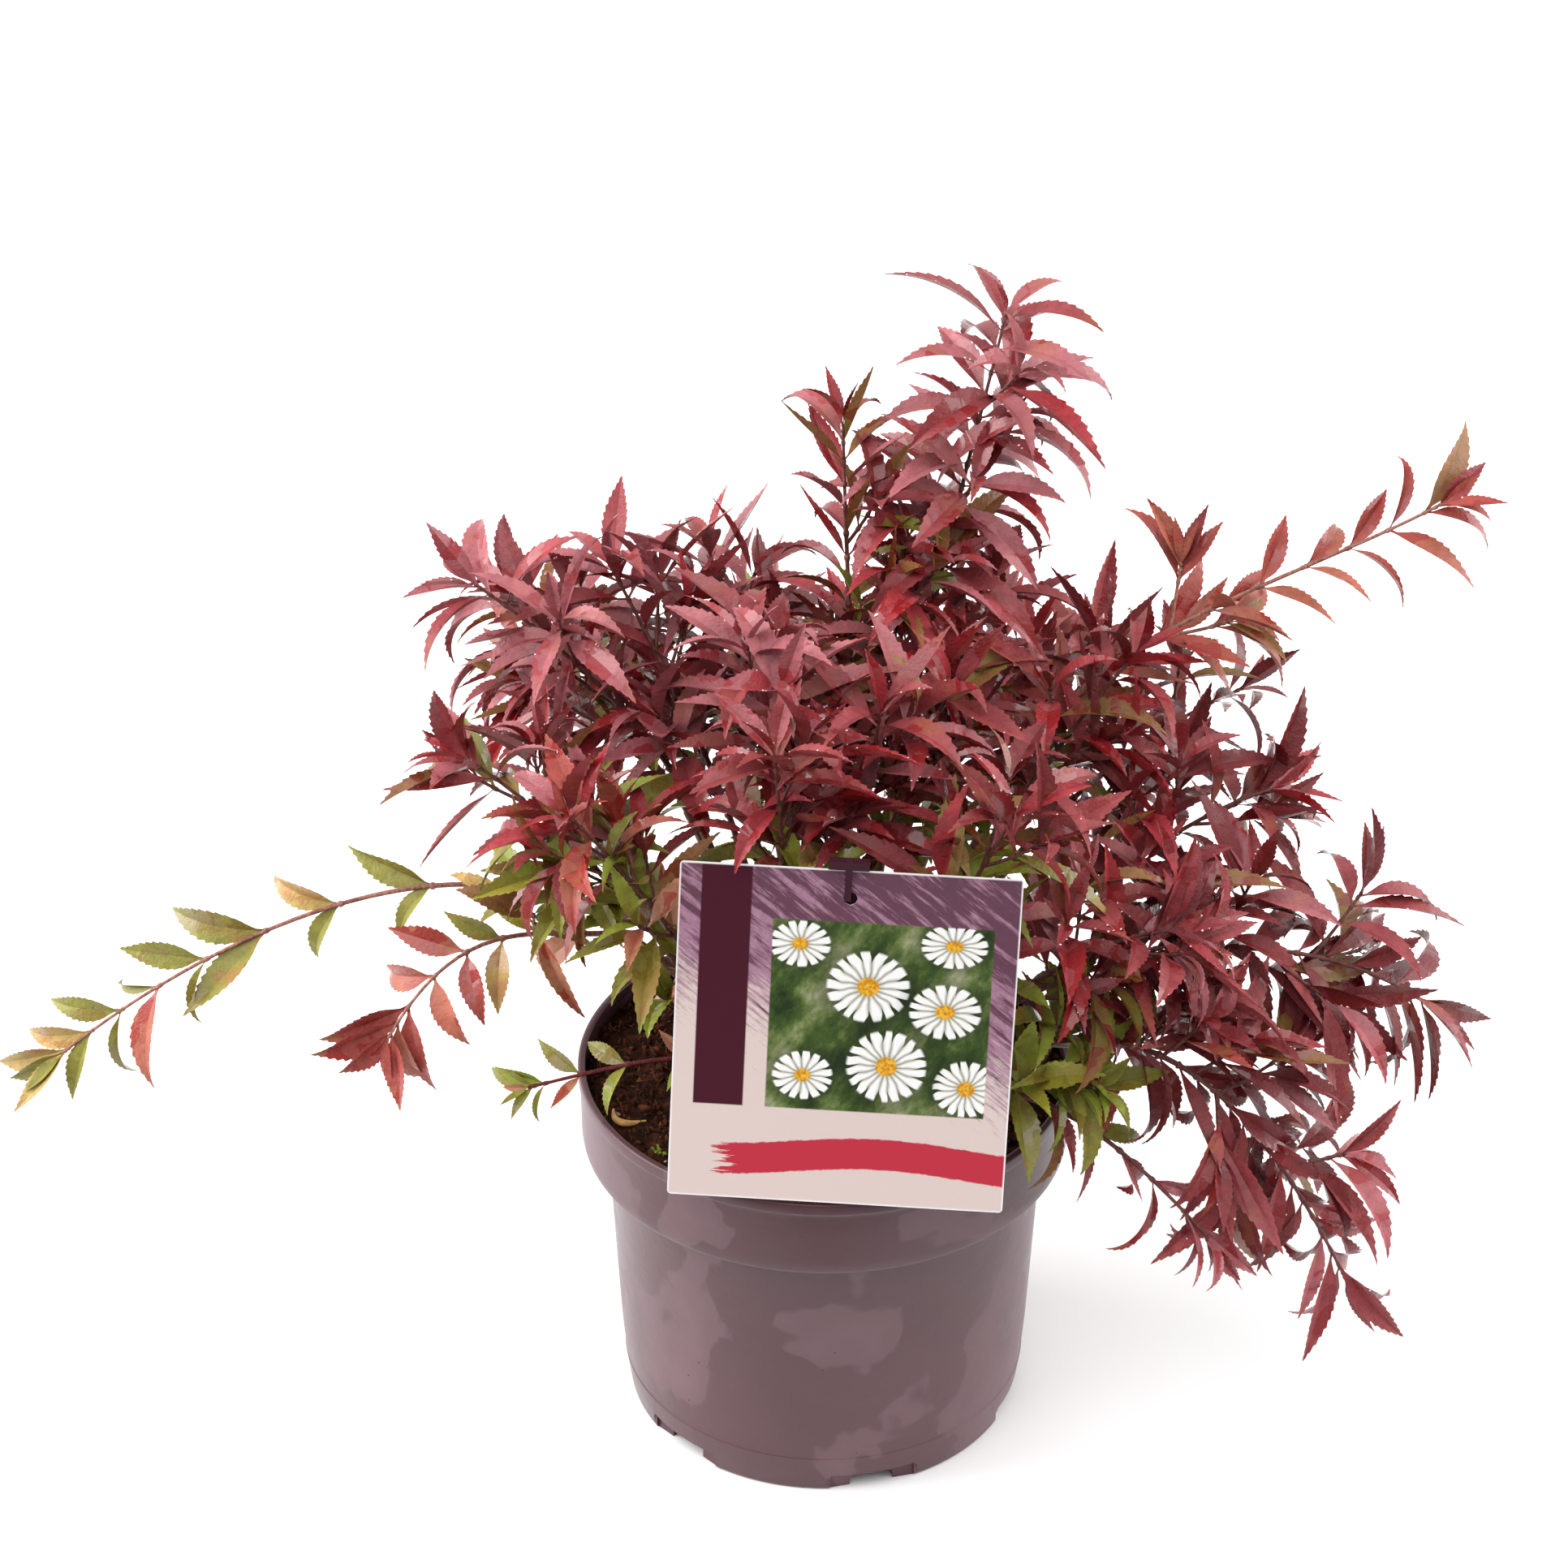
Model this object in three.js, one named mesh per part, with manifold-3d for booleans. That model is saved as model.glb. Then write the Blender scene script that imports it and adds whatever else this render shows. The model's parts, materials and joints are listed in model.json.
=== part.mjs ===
// A potted slender deutzia in autumn leaf: a dwarf shrub of many thin canes in a round nursery pot,
// with its picture card on a stake. Millimetres, +Z up, origin under the middle of the pot's foot.
// The card is at the front, towards -Y.

import * as THREE from "three";
import { mergeVertices } from "three/addons/utils/BufferGeometryUtils.js";
import Module from "manifold-3d";

const wasm = await Module();
wasm.setup();

const GAP = 0.3; // clear space between pieces that rest on each other
const UP = new THREE.Vector3(0, 0, 1);

// The pot: a 3 litre container of 19 cm, a tapered body with a straight collar round its top.
const POT_HEIGHT = 150;
const RIM_RADIUS = 95;
const RIM_THICKNESS = 3;
const COLLAR_HEIGHT = 33;
const COLLAR_FOOT_RADIUS = 94;
const BODY_TOP_RADIUS = 84.5;
const BODY_FOOT_RADIUS = 77.5;
const WALL = 1.6;
const FLOOR_LIFT = 6;
const FLOOR_THICKNESS = 2;
const FOOT_RING_WIDTH = 14;
const POT_SIDES = 36;
const CENTRE_FOOT_RADIUS = 20;
const DRAIN_COUNT = 6;
const DRAIN_FIRST_ANGLE = -76;
const DRAIN_WIDTH = 36;
const DRAIN_HEIGHT = 7.5;
const DRAIN_RECESS = 1;
const SLOT_WIDTH = 17;
const SLOT_HEIGHT = 5;

// The compost: a mound that is highest under the canes.
const SOIL_CROWN = 143;
const SOIL_EDGE = 139;
const SOIL_CROWN_RADIUS = 46;

// The picture card leans back on its stake, with its lower edge just outside the rim.
const CARD_WIDTH = 122;
const CARD_HEIGHT = 127.5;
const CARD_THICKNESS = 0.6;
const CARD_CORNER = 1.5;
const CARD_FOOT = [2.5, -95.7, 152];
const CARD_LEAN = 14;
const CARD_ROLL = 2;
const CARD_YAW = -2.5;
const CARD_HOLE_RADIUS = 2.6;
const CARD_HOLE_DROP = 10.6;
const SADDLE_WIDTH = 14.5;
const SADDLE_HEIGHT = 3;
const SADDLE_OFFSET = -1;
const PRONG_WIDTH = 2.4;
const PRONG_LENGTH = 15.5;
const PRONG_THICKNESS = 1.2;
const NUB_RADIUS = 1;
const STAKE_WIDTH = 8;
const STAKE_THICKNESS = 1.6;
const STAKE_DEPTH = 55;
const STAKE_FOOT = [5, -66];

// The shrub. A cane is one limb from the compost to its fork, bowed up by `bow` between them.
const CANE_SIDES = 5;
const CANE_STEPS = 5;
const CANE_TIP_RADIUS = 1.5;
const FLARE = 0.7;
const CANES = [
  { name: "left", foot: [-24, 16], fork: [-82, 31, 190], bow: 5, radius: 3.2 },
  { name: "left_mid", foot: [-30, -2], fork: [-66, -8, 214], bow: 8, radius: 2.3 },
  { name: "left_front", foot: [-22, -14], fork: [-46, -30, 208], bow: 6, radius: 2.2 },
  { name: "left_top", foot: [-17, 24], fork: [-50, 34, 240], bow: 8, radius: 2.4 },
  { name: "upper_left", foot: [-12, 14], fork: [-34, 22, 236], bow: 6, radius: 2.4 },
  { name: "upper_mid", foot: [-7, 24], fork: [-20, 46, 234], bow: 6, radius: 2.3 },
  { name: "centre_star", foot: [-8, 4], fork: [-15, 2, 234], bow: 3, radius: 2.5 },
  { name: "front_star", foot: [-10, -12], fork: [-14, -28, 220], bow: 4, radius: 2.2 },
  { name: "centre", foot: [3, -8], fork: [8, -12, 220], bow: 3, radius: 2.4 },
  { name: "top", foot: [1, 14], fork: [8, 36, 258], bow: 6, radius: 2.7 },
  { name: "tall", foot: [9, 24], fork: [38, 62, 300], bow: 10, radius: 2.8 },
  { name: "top_right", foot: [15, 14], fork: [38, 40, 226], bow: 6, radius: 2.3 },
  { name: "inner_right", foot: [11, 4], fork: [26, 12, 222], bow: 4, radius: 2.2 },
  { name: "right_long", foot: [24, 18], fork: [78, 50, 258], bow: 16, radius: 3 },
  { name: "right_upper", foot: [23, 7], fork: [60, 22, 226], bow: 8, radius: 2.4 },
  { name: "right_back", foot: [28, 28], fork: [78, 56, 210], bow: 8, radius: 2.3 },
  { name: "right_mid", foot: [33, 8], fork: [84, 10, 204], bow: 8, radius: 2.4 },
  { name: "front_right", foot: [12, -14], fork: [34, -32, 208], bow: 6, radius: 2.2 },
  { name: "right_front", foot: [23, -12], fork: [54, -32, 190], bow: 6, radius: 2.4 },
  { name: "right_low", foot: [34, -5], fork: [92, -16, 198], bow: 12, radius: 2.6 },
  { name: "droop", foot: [34, -18], fork: [94, -46, 190], bow: 14, radius: 2.4 },
  { name: "skirt_right", foot: [22, -26], fork: [62, -44, 164], bow: 4, radius: 2.1 },
  { name: "back_left", foot: [-18, 35], fork: [-54, 76, 214], bow: 8, radius: 2.4 },
  { name: "back_mid", foot: [0, 36], fork: [-4, 84, 212], bow: 8, radius: 2.4 },
  { name: "back_right", foot: [16, 38], fork: [48, 86, 208], bow: 8, radius: 2.4 },
];

// The foliage. Each mass grows on from its cane's fork, or from beside its cane at the share `beside`,
// or from the compost at `from`, to its tip, its stem arched up by `arch` before the tip. Side twigs of
// length `twig` leave that stem, and `leaf` is the length of its leaves.
const MASSES = [
  { name: "left_long", cane: "left", tip: [-291, -8, 157], arch: 45, twigs: 0, twig: 0, leaf: 32 },
  {
    name: "left_low", cane: "left", beside: 0.93,
    tip: [-162, -46, 190], arch: 44, twigs: 1, twig: 20, leaf: 34,
  },
  { name: "left_rim", from: [-34, -10], tip: [-112, -35, 160], arch: 8, twigs: 0, twig: 0, leaf: 27 },
  { name: "left_mid", cane: "left_mid", tip: [-132, -12, 290], arch: 10, twigs: 2, twig: 34, leaf: 46 },
  { name: "left_front", cane: "left_front", tip: [-92, -50, 288], arch: 6, twigs: 2, twig: 32, leaf: 47 },
  { name: "left_top", cane: "left_top", tip: [-130, 40, 334], arch: 12, twigs: 2, twig: 34, leaf: 47 },
  { name: "upper_left", cane: "upper_left", tip: [-80, 50, 336], arch: 6, twigs: 2, twig: 34, leaf: 52 },
  { name: "upper_mid", cane: "upper_mid", tip: [-44, 74, 330], arch: 6, twigs: 1, twig: 30, leaf: 48 },
  { name: "centre_star", cane: "centre_star", tip: [-29, 0, 330], arch: 2, twigs: 2, twig: 34, leaf: 54 },
  { name: "front_star", cane: "front_star", tip: [-19, -50, 314], arch: 2, twigs: 2, twig: 30, leaf: 50 },
  { name: "centre", cane: "centre", tip: [19, -20, 314], arch: 2, twigs: 2, twig: 32, leaf: 52 },
  { name: "top_small", cane: "top", tip: [6, 72, 384], arch: 6, twigs: 1, twig: 26, leaf: 36 },
  {
    name: "top_mid", cane: "top", beside: 0.92,
    tip: [30, 54, 346], arch: 2, twigs: 1, twig: 30, leaf: 46,
  },
  { name: "tall", cane: "tall", tip: [66, 86, 422], arch: 2, twigs: 1, twig: 26, leaf: 44 },
  { name: "top_right", cane: "top_right", tip: [64, 74, 318], arch: 4, twigs: 1, twig: 30, leaf: 48 },
  { name: "inner_right", cane: "inner_right", tip: [44, 26, 308], arch: 4, twigs: 1, twig: 32, leaf: 50 },
  { name: "right_long", cane: "right_long", tip: [228, 60, 357], arch: 4, twigs: 1, twig: 30, leaf: 34 },
  {
    name: "right_upper", cane: "right_upper",
    tip: [116, 42, 304], arch: 6, twigs: 1, twig: 32, leaf: 46,
  },
  { name: "right_back", cane: "right_back", tip: [162, 82, 266], arch: 12, twigs: 1, twig: 34, leaf: 40 },
  { name: "right_mid", cane: "right_mid", tip: [168, 20, 258], arch: 12, twigs: 2, twig: 34, leaf: 46 },
  {
    name: "front_right", cane: "front_right",
    tip: [66, -58, 294], arch: 4, twigs: 2, twig: 32, leaf: 50,
  },
  {
    name: "right_front", cane: "right_front",
    tip: [124, -56, 244], arch: 12, twigs: 3, twig: 34, leaf: 48,
  },
  { name: "right_low", cane: "right_low", tip: [224, -22, 190], arch: 30, twigs: 3, twig: 38, leaf: 44 },
  { name: "droop", cane: "droop", tip: [194, -80, 104], arch: 40, twigs: 3, twig: 36, leaf: 42 },
  {
    name: "right_rim", cane: "skirt_right",
    tip: [140, -94, 134], arch: 14, twigs: 0, twig: 24, leaf: 32,
  },
  {
    name: "skirt_right", cane: "skirt_right", beside: 0.9,
    tip: [92, -62, 186], arch: 8, twigs: 2, twig: 28, leaf: 44,
  },
  { name: "skirt_left", from: [-42, 8], tip: [-64, 0, 208], arch: 4, twigs: 2, twig: 30, leaf: 44 },
  { name: "back_left", cane: "back_left", tip: [-122, 122, 262], arch: 14, twigs: 2, twig: 38, leaf: 50 },
  { name: "back_mid", cane: "back_mid", tip: [-10, 152, 250], arch: 16, twigs: 2, twig: 40, leaf: 50 },
  {
    name: "back_right", cane: "back_right",
    tip: [102, 148, 240], arch: 16, twigs: 2, twig: 38, leaf: 50,
  },
];

const TWIG_SIDES = 3;
const STEM_RADIUS = 1.6;
const BESIDE_SHARE = 0.5; // how much of its radius a three-sided stem has towards the cane beside it
const TWIG_RADIUS = 1.4;
const TWIG_END_RADIUS = 1.2;
const TWIG_ANGLE = 50;
const TWIG_RISE = 0.3;
const GOLDEN_ANGLE = 137.5;

// Leaves stand in pairs, each square to the last and closer together towards the tip: the distances of
// the last pairs from the tip, then one pair every NODE_SPACING, with each pair's angle and size.
const TIP_PAIRS = [
  { back: 0.6, angle: 30, size: 0.74 },
  { back: 7, angle: 50, size: 0.95 },
  { back: 20, angle: 62, size: 1 },
];
const NODE_SPACING = 29;
const STEM_PAIR = { angle: 64, size: 0.94 };
const LEAF_WIDTH = 0.34; // as a share of the leaf's length
const LEAF_THICKNESS = 0.03;
const LEAF_BELLY = 0.42;
const LEAF_CURL = 0.16;
const LEAF_SINK = 0.3;
const LEAF_TURN_UP = 1.1;
const LEAF_SIZES = [1, 0.82, 0.66];
const BLADE_START = 3;
const TWIG_CLEARANCE = 3;
const GROWN = 0.5; // how much a leaf is grown on each side for the test that it touches nothing
const MEETING_VOLUME = 1e-6;
const SLIVER = 1e-3;
const FLOOR_CLEARANCE = 8;

const radians = THREE.MathUtils.degToRad;
const vector = (values) => new THREE.Vector3(...values);

// A repeatable stream of numbers from 0 to 1.
function seeded(seed) {
  let state = seed >>> 0;
  return () => {
    state = (Math.imul(state, 1664525) + 1013904223) >>> 0;
    return state / 4294967296;
  };
}

// A closed three.js geometry as a solid that can be joined and cut.
function solid(geometry) {
  const bare = geometry.clone();
  bare.deleteAttribute("normal");
  bare.deleteAttribute("uv");
  const merged = mergeVertices(bare, 1e-4);
  return new wasm.Manifold(
    new wasm.Mesh({
      numProp: 3,
      vertProperties: merged.attributes.position.array,
      triVerts: new Uint32Array(merged.index.array),
    }),
  );
}

// True where a solid stays closed once its corners are rounded: a join can leave slivers that don't.
function sturdy(made) {
  const { numProp, vertProperties, triVerts } = made.getMesh();
  const cornerOf = (vertex) =>
    Array.from(vertProperties.subarray(vertex * numProp, vertex * numProp + 3))
      .map((value) => Math.round(value / SLIVER))
      .join();
  const edges = new Set();
  for (let first = 0; first < triVerts.length; first += 3) {
    const corners = [0, 1, 2].map((step) => cornerOf(triVerts[first + step]));
    if (new Set(corners).size < 3) continue;
    for (const [from, to] of [[0, 1], [1, 2], [2, 0]]) {
      const edge = `${corners[from]} ${corners[to]}`;
      if (edges.has(edge)) return false;
      edges.add(edge);
    }
  }
  return [...edges].every((edge) => edges.has(edge.split(" ").reverse().join(" ")));
}

// A solid as a geometry again, without any scrap that a cut left loose.
function geometryOf(made) {
  const pieces = made.decompose().sort((a, b) => b.volume() - a.volume());
  const mesh = pieces[0].getMesh();
  const positions = new Float32Array(mesh.numVert * 3);
  for (let i = 0; i < mesh.numVert; i++) {
    const first = i * mesh.numProp;
    positions.set(mesh.vertProperties.subarray(first, first + 3), i * 3);
  }
  const geometry = new THREE.BufferGeometry();
  geometry.setAttribute("position", new THREE.BufferAttribute(positions, 3));
  geometry.setIndex(new THREE.BufferAttribute(mesh.triVerts, 1));
  geometry.computeVertexNormals();
  return geometry;
}

function box(width, depth, height, at) {
  return new THREE.BoxGeometry(width, depth, height).translate(...at);
}

// A profile of [radius, height] pairs, turned round the upright axis.
function turned(profile, sides) {
  const points = profile.map(([r, z]) => new THREE.Vector2(r, z));
  return new THREE.LatheGeometry(points, sides).rotateX(Math.PI / 2);
}

const COLLAR_FOOT = POT_HEIGHT - COLLAR_HEIGHT;
const FLOOR_TOP = FLOOR_LIFT + FLOOR_THICKNESS;

// The pot's inner wall from the floor to the rim, set in by `clear`.
function innerWall(clear) {
  return [
    [BODY_FOOT_RADIUS - WALL - clear, FLOOR_TOP + clear],
    [BODY_TOP_RADIUS - WALL - clear, COLLAR_FOOT + 2 + clear],
    [COLLAR_FOOT_RADIUS - WALL - clear, COLLAR_FOOT + 4 + clear],
  ];
}

function potGeometry() {
  const lip = RIM_RADIUS - RIM_THICKNESS;
  const profile = [
    [0, 0],
    [CENTRE_FOOT_RADIUS, 0],
    [CENTRE_FOOT_RADIUS + 2, FLOOR_LIFT],
    [BODY_FOOT_RADIUS - FOOT_RING_WIDTH, FLOOR_LIFT],
    [BODY_FOOT_RADIUS - FOOT_RING_WIDTH + 1, 0],
    [BODY_FOOT_RADIUS - 1, 0],
    [BODY_FOOT_RADIUS, 1],
    [BODY_TOP_RADIUS, COLLAR_FOOT],
    [COLLAR_FOOT_RADIUS - 1, COLLAR_FOOT],
    [COLLAR_FOOT_RADIUS, COLLAR_FOOT + 2],
    [RIM_RADIUS, POT_HEIGHT - 1],
    [RIM_RADIUS - 1, POT_HEIGHT],
    [lip, POT_HEIGHT],
    [lip, POT_HEIGHT - 4],
    [RIM_RADIUS - WALL, POT_HEIGHT - 5],
    ...innerWall(0).reverse(),
    [0, FLOOR_TOP],
  ];
  let pot = solid(turned(profile, POT_SIDES));
  for (let i = 0; i < DRAIN_COUNT; i++) {
    const angle = radians(DRAIN_FIRST_ANGLE + (i * 360) / DRAIN_COUNT);
    const outer = BODY_FOOT_RADIUS + 1;
    const recess = box(10, DRAIN_WIDTH, DRAIN_HEIGHT * 2, [outer - 5, 0, 0]);
    const recessBack = Math.sqrt(outer ** 2 - (DRAIN_WIDTH / 2) ** 2) - DRAIN_RECESS;
    recess.translate(recessBack + 5 - (outer - 5), 0, 0);
    const slot = box(40, SLOT_WIDTH, SLOT_HEIGHT * 2, [outer - 10, 0, 0]);
    for (const cutter of [recess, slot]) pot = pot.subtract(solid(cutter.rotateZ(angle)));
  }
  return geometryOf(pot);
}

function placed(geometry, group) {
  group.updateMatrixWorld(true);
  return geometry.applyMatrix4(group.matrixWorld);
}

// The card's own frame: x across it, z up it and y through it, towards the shrub.
const cardFrame = new THREE.Group();
cardFrame.position.set(...CARD_FOOT);
cardFrame.rotation.set(radians(-CARD_LEAN), radians(CARD_ROLL), radians(CARD_YAW), "ZXY");
cardFrame.updateMatrixWorld(true);

function cardGeometry() {
  const outline = new THREE.Shape();
  const [half, c] = [CARD_WIDTH / 2, CARD_CORNER];
  outline.moveTo(-half + c, 0);
  outline.lineTo(half - c, 0);
  outline.absarc(half - c, c, c, -Math.PI / 2, 0);
  outline.lineTo(half, CARD_HEIGHT - c);
  outline.absarc(half - c, CARD_HEIGHT - c, c, 0, Math.PI / 2);
  outline.lineTo(-half + c, CARD_HEIGHT);
  outline.absarc(-half + c, CARD_HEIGHT - c, c, Math.PI / 2, Math.PI);
  outline.lineTo(-half, c);
  outline.absarc(-half + c, c, c, Math.PI, Math.PI * 1.5);
  const hole = new THREE.Path();
  hole.absarc(0, CARD_HEIGHT - CARD_HOLE_DROP, CARD_HOLE_RADIUS, 0, Math.PI * 2, true);
  outline.holes.push(hole);
  const options = { depth: CARD_THICKNESS, bevelEnabled: false, curveSegments: 4 };
  return geometryOf(solid(new THREE.ExtrudeGeometry(outline, options).rotateX(Math.PI / 2)));
}

// The stake's middle line runs from below the compost to the saddle behind the card's top edge.
function stakeEnds() {
  const top = cardFrame.localToWorld(
    new THREE.Vector3(SADDLE_OFFSET, GAP + STAKE_THICKNESS, CARD_HEIGHT + SADDLE_HEIGHT / 2),
  );
  const entry = new THREE.Vector3(STAKE_FOOT[0], STAKE_FOOT[1], SOIL_EDGE);
  const down = entry.clone().sub(top).normalize();
  return [top, entry.addScaledVector(down, STAKE_DEPTH)];
}

function stakeStrip(extra) {
  const [top, bottom] = stakeEnds();
  const length = top.distanceTo(bottom) + extra;
  const strip = new THREE.BoxGeometry(STAKE_WIDTH + 2 * extra, STAKE_THICKNESS + 2 * extra, length);
  const holder = new THREE.Object3D();
  holder.position.copy(top).lerp(bottom, 0.5);
  holder.quaternion.setFromUnitVectors(UP, top.clone().sub(bottom).normalize());
  holder.updateMatrixWorld(true);
  return solid(strip.applyMatrix4(holder.matrixWorld));
}

function stakeGeometry() {
  const front = -CARD_THICKNESS - GAP;
  const saddleDepth = 2 * STAKE_THICKNESS + GAP - front + PRONG_THICKNESS;
  const saddleMiddle = front - PRONG_THICKNESS + saddleDepth / 2;
  const saddleFoot = CARD_HEIGHT + GAP;
  const pieces = [
    box(SADDLE_WIDTH, saddleDepth, SADDLE_HEIGHT, [
      SADDLE_OFFSET,
      saddleMiddle,
      saddleFoot + SADDLE_HEIGHT / 2,
    ]),
    box(PRONG_WIDTH, PRONG_THICKNESS, PRONG_LENGTH, [
      SADDLE_OFFSET,
      front - PRONG_THICKNESS / 2,
      saddleFoot + SADDLE_HEIGHT + 1 - PRONG_LENGTH / 2,
    ]),
    new THREE.CylinderGeometry(NUB_RADIUS, NUB_RADIUS, 1.4, 8).translate(
      SADDLE_OFFSET,
      front,
      CARD_HEIGHT - CARD_HOLE_DROP + 0.6,
    ),
  ];
  let made = stakeStrip(0);
  for (const piece of pieces) made = made.add(solid(placed(piece, cardFrame)));
  return geometryOf(made);
}

function soilGeometry() {
  const wall = innerWall(GAP);
  const collarTop = [COLLAR_FOOT_RADIUS - WALL - GAP, SOIL_EDGE];
  const profile = [
    [0, FLOOR_TOP + GAP],
    ...wall,
    collarTop,
    [SOIL_CROWN_RADIUS, SOIL_CROWN],
    [0, SOIL_CROWN],
  ];
  return geometryOf(solid(turned(profile, POT_SIDES)).subtract(stakeStrip(GAP)));
}

// A tapering limb along a curve: a cylinder's rings carried along it. `level` cuts its foot flat.
function limb(curve, radiusAt, sides, steps, level) {
  const cylinder = new THREE.CylinderGeometry(1, 1, 1, sides, steps);
  const position = cylinder.getAttribute("position");
  const point = new THREE.Vector3();
  for (let i = 0; i < position.count; i++) {
    point.fromBufferAttribute(position, i);
    const along = Math.round((point.y + 0.5) * steps) / steps;
    const { tangent, side, top } = frameAt(curve, along);
    const radius = radiusAt(along);
    const place = curve.getPoint(along);
    place.addScaledVector(side, -point.z * radius).addScaledVector(top, point.x * radius);
    if (level !== undefined && along === 0) {
      place.addScaledVector(tangent, (level - place.z) / tangent.z);
    }
    position.setXYZ(i, place.x, place.y, place.z);
  }
  cylinder.computeBoundingBox();
  return { solid: solid(cylinder), box: cylinder.boundingBox };
}

// The direction of a curve, and two directions square to it.
function frameAt(curve, along) {
  const tangent = curve.getTangent(along);
  const reference = Math.abs(tangent.z) > 0.94 ? new THREE.Vector3(1, 0, 0) : UP;
  const side = new THREE.Vector3().crossVectors(tangent, reference).normalize();
  const top = new THREE.Vector3().crossVectors(side, tangent);
  return { tangent, side, top };
}

function caneCurve(cane) {
  const foot = new THREE.Vector3(cane.foot[0], cane.foot[1], SOIL_CROWN + GAP);
  const fork = vector(cane.fork);
  const knee = foot.clone().lerp(fork, 0.5).addScaledVector(UP, cane.bow);
  return new THREE.QuadraticBezierCurve3(foot, knee, fork);
}

// A cane tapers to its fork and flares at its foot.
function caneRadius(cane) {
  return (along) =>
    cane.radius + (CANE_TIP_RADIUS - cane.radius) * along + FLARE * Math.exp(-along * 14);
}

const canes = new Map(
  CANES.map((cane) => [cane.name, { ...cane, curve: caneCurve(cane), radiusAt: caneRadius(cane) }]),
);

// A mass's stem grows on from its fork, or beside its cane, or from the compost, and bends to its tip.
function stemCurve(mass) {
  const tip = vector(mass.tip);
  let start = null;
  let heading = UP.clone();
  if (mass.cane) {
    const cane = canes.get(mass.cane);
    const share = mass.beside ?? 1;
    heading = cane.curve.getTangent(share);
    start = cane.curve.getPoint(share);
    if (mass.beside) {
      const leaving = tip.clone().sub(start).normalize();
      const outward = leaving.addScaledVector(heading, -leaving.dot(heading)).normalize();
      start.addScaledVector(outward, cane.radiusAt(share) + STEM_RADIUS * BESIDE_SHARE + GAP);
      heading.add(outward).normalize();
    } else {
      start.addScaledVector(heading, GAP);
    }
  } else {
    start = new THREE.Vector3(mass.from[0], mass.from[1], SOIL_CROWN + GAP);
  }
  const onward = start.clone().addScaledVector(heading, start.distanceTo(tip) * 0.3);
  const over = start.clone().lerp(tip, 0.66).addScaledVector(UP, mass.arch);
  return new THREE.CubicBezierCurve3(start, onward, over, tip);
}

// True where a leaf or twig may not be: in the pot or compost, on the floor, at the card or its stake.
function kept(point) {
  const radius = Math.hypot(point.x, point.y);
  if (point.z < FLOOR_CLEARANCE) return true;
  if (radius < RIM_RADIUS + 3 && radius > RIM_RADIUS - 6 && point.z < POT_HEIGHT + 3) return true;
  if (radius < RIM_RADIUS && point.z < SOIL_CROWN + 3) return true;
  const local = cardFrame.worldToLocal(point.clone());
  const beside = Math.abs(local.x) < CARD_WIDTH / 2 + 3;
  if (beside && local.z > -3 && local.z < CARD_HEIGHT + SADDLE_HEIGHT + 4 && local.y < 5) return true;
  const [top, bottom] = stakeEnds();
  const nearStake = new THREE.Line3(top, bottom).closestPointToPoint(point, true, new THREE.Vector3());
  return nearStake.distanceTo(point) < STAKE_WIDTH / 2 + 3;
}

// What stands already: each limb and leaf with its owner, its solid and its box. A leaf has a blade too,
// which is the leaf without its root.
const standing = [];

// True where two solids share some space.
const share = (one, other) => one.intersect(other).volume() > MEETING_VOLUME;

// True where a grown leaf or twig meets what another owner has set, or a blade meets what its own has.
function meets(owner, box, grown, blade) {
  return standing.some((other) => {
    if (!other.box.intersectsBox(box)) return false;
    if (other.owner !== owner) return share(grown, other.solid);
    return blade !== undefined && share(blade, other.blade ?? other.solid);
  });
}

// Side twigs leave the stem by the golden angle, and rise a little.
function twigCurve(mass, number, random) {
  const along = 0.12 + (0.66 * (number + 0.3 + 0.4 * random())) / mass.twigs;
  const turn = radians(GOLDEN_ANGLE * number + 360 * random());
  const length = mass.twig * (0.85 + 0.3 * random());
  const { tangent, side, top } = frameAt(mass.stem, along);
  const outward = side.multiplyScalar(Math.cos(turn)).addScaledVector(top, Math.sin(turn));
  const heading = tangent.multiplyScalar(Math.cos(radians(TWIG_ANGLE)));
  heading.addScaledVector(outward, Math.sin(radians(TWIG_ANGLE))).addScaledVector(UP, TWIG_RISE);
  heading.normalize();
  const start = mass.stem.getPoint(along);
  const knee = start.clone().addScaledVector(heading, length / 2);
  const rising = heading.clone().addScaledVector(UP, TWIG_RISE).normalize();
  return new THREE.QuadraticBezierCurve3(start, knee, knee.clone().addScaledVector(rising, length / 2));
}

// A leaf of 8 faces: base, tip, two edges and the two sides of its midrib, curled back to the tip.
function leafPoints(leaf, { grown = 0, sink = LEAF_SINK } = {}) {
  const across = new THREE.Vector3().crossVectors(leaf.heading, leaf.face).normalize();
  const at = (share) =>
    leaf.base
      .clone()
      .addScaledVector(leaf.heading, leaf.length * share)
      .addScaledVector(leaf.face, -LEAF_CURL * leaf.length * share * share);
  const belly = at(LEAF_BELLY);
  const halfWidth = (leaf.length * LEAF_WIDTH) / 2 + grown;
  const halfThickness = (leaf.length * LEAF_THICKNESS) / 2 + grown;
  return {
    base: leaf.base.clone().addScaledVector(leaf.heading, -sink),
    tip: at(1),
    left: belly.clone().addScaledVector(across, halfWidth),
    right: belly.clone().addScaledVector(across, -halfWidth),
    over: belly.clone().addScaledVector(leaf.face, halfThickness),
    under: belly.clone().addScaledVector(leaf.face, -halfThickness),
    quarter: at(0.7),
  };
}

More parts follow.
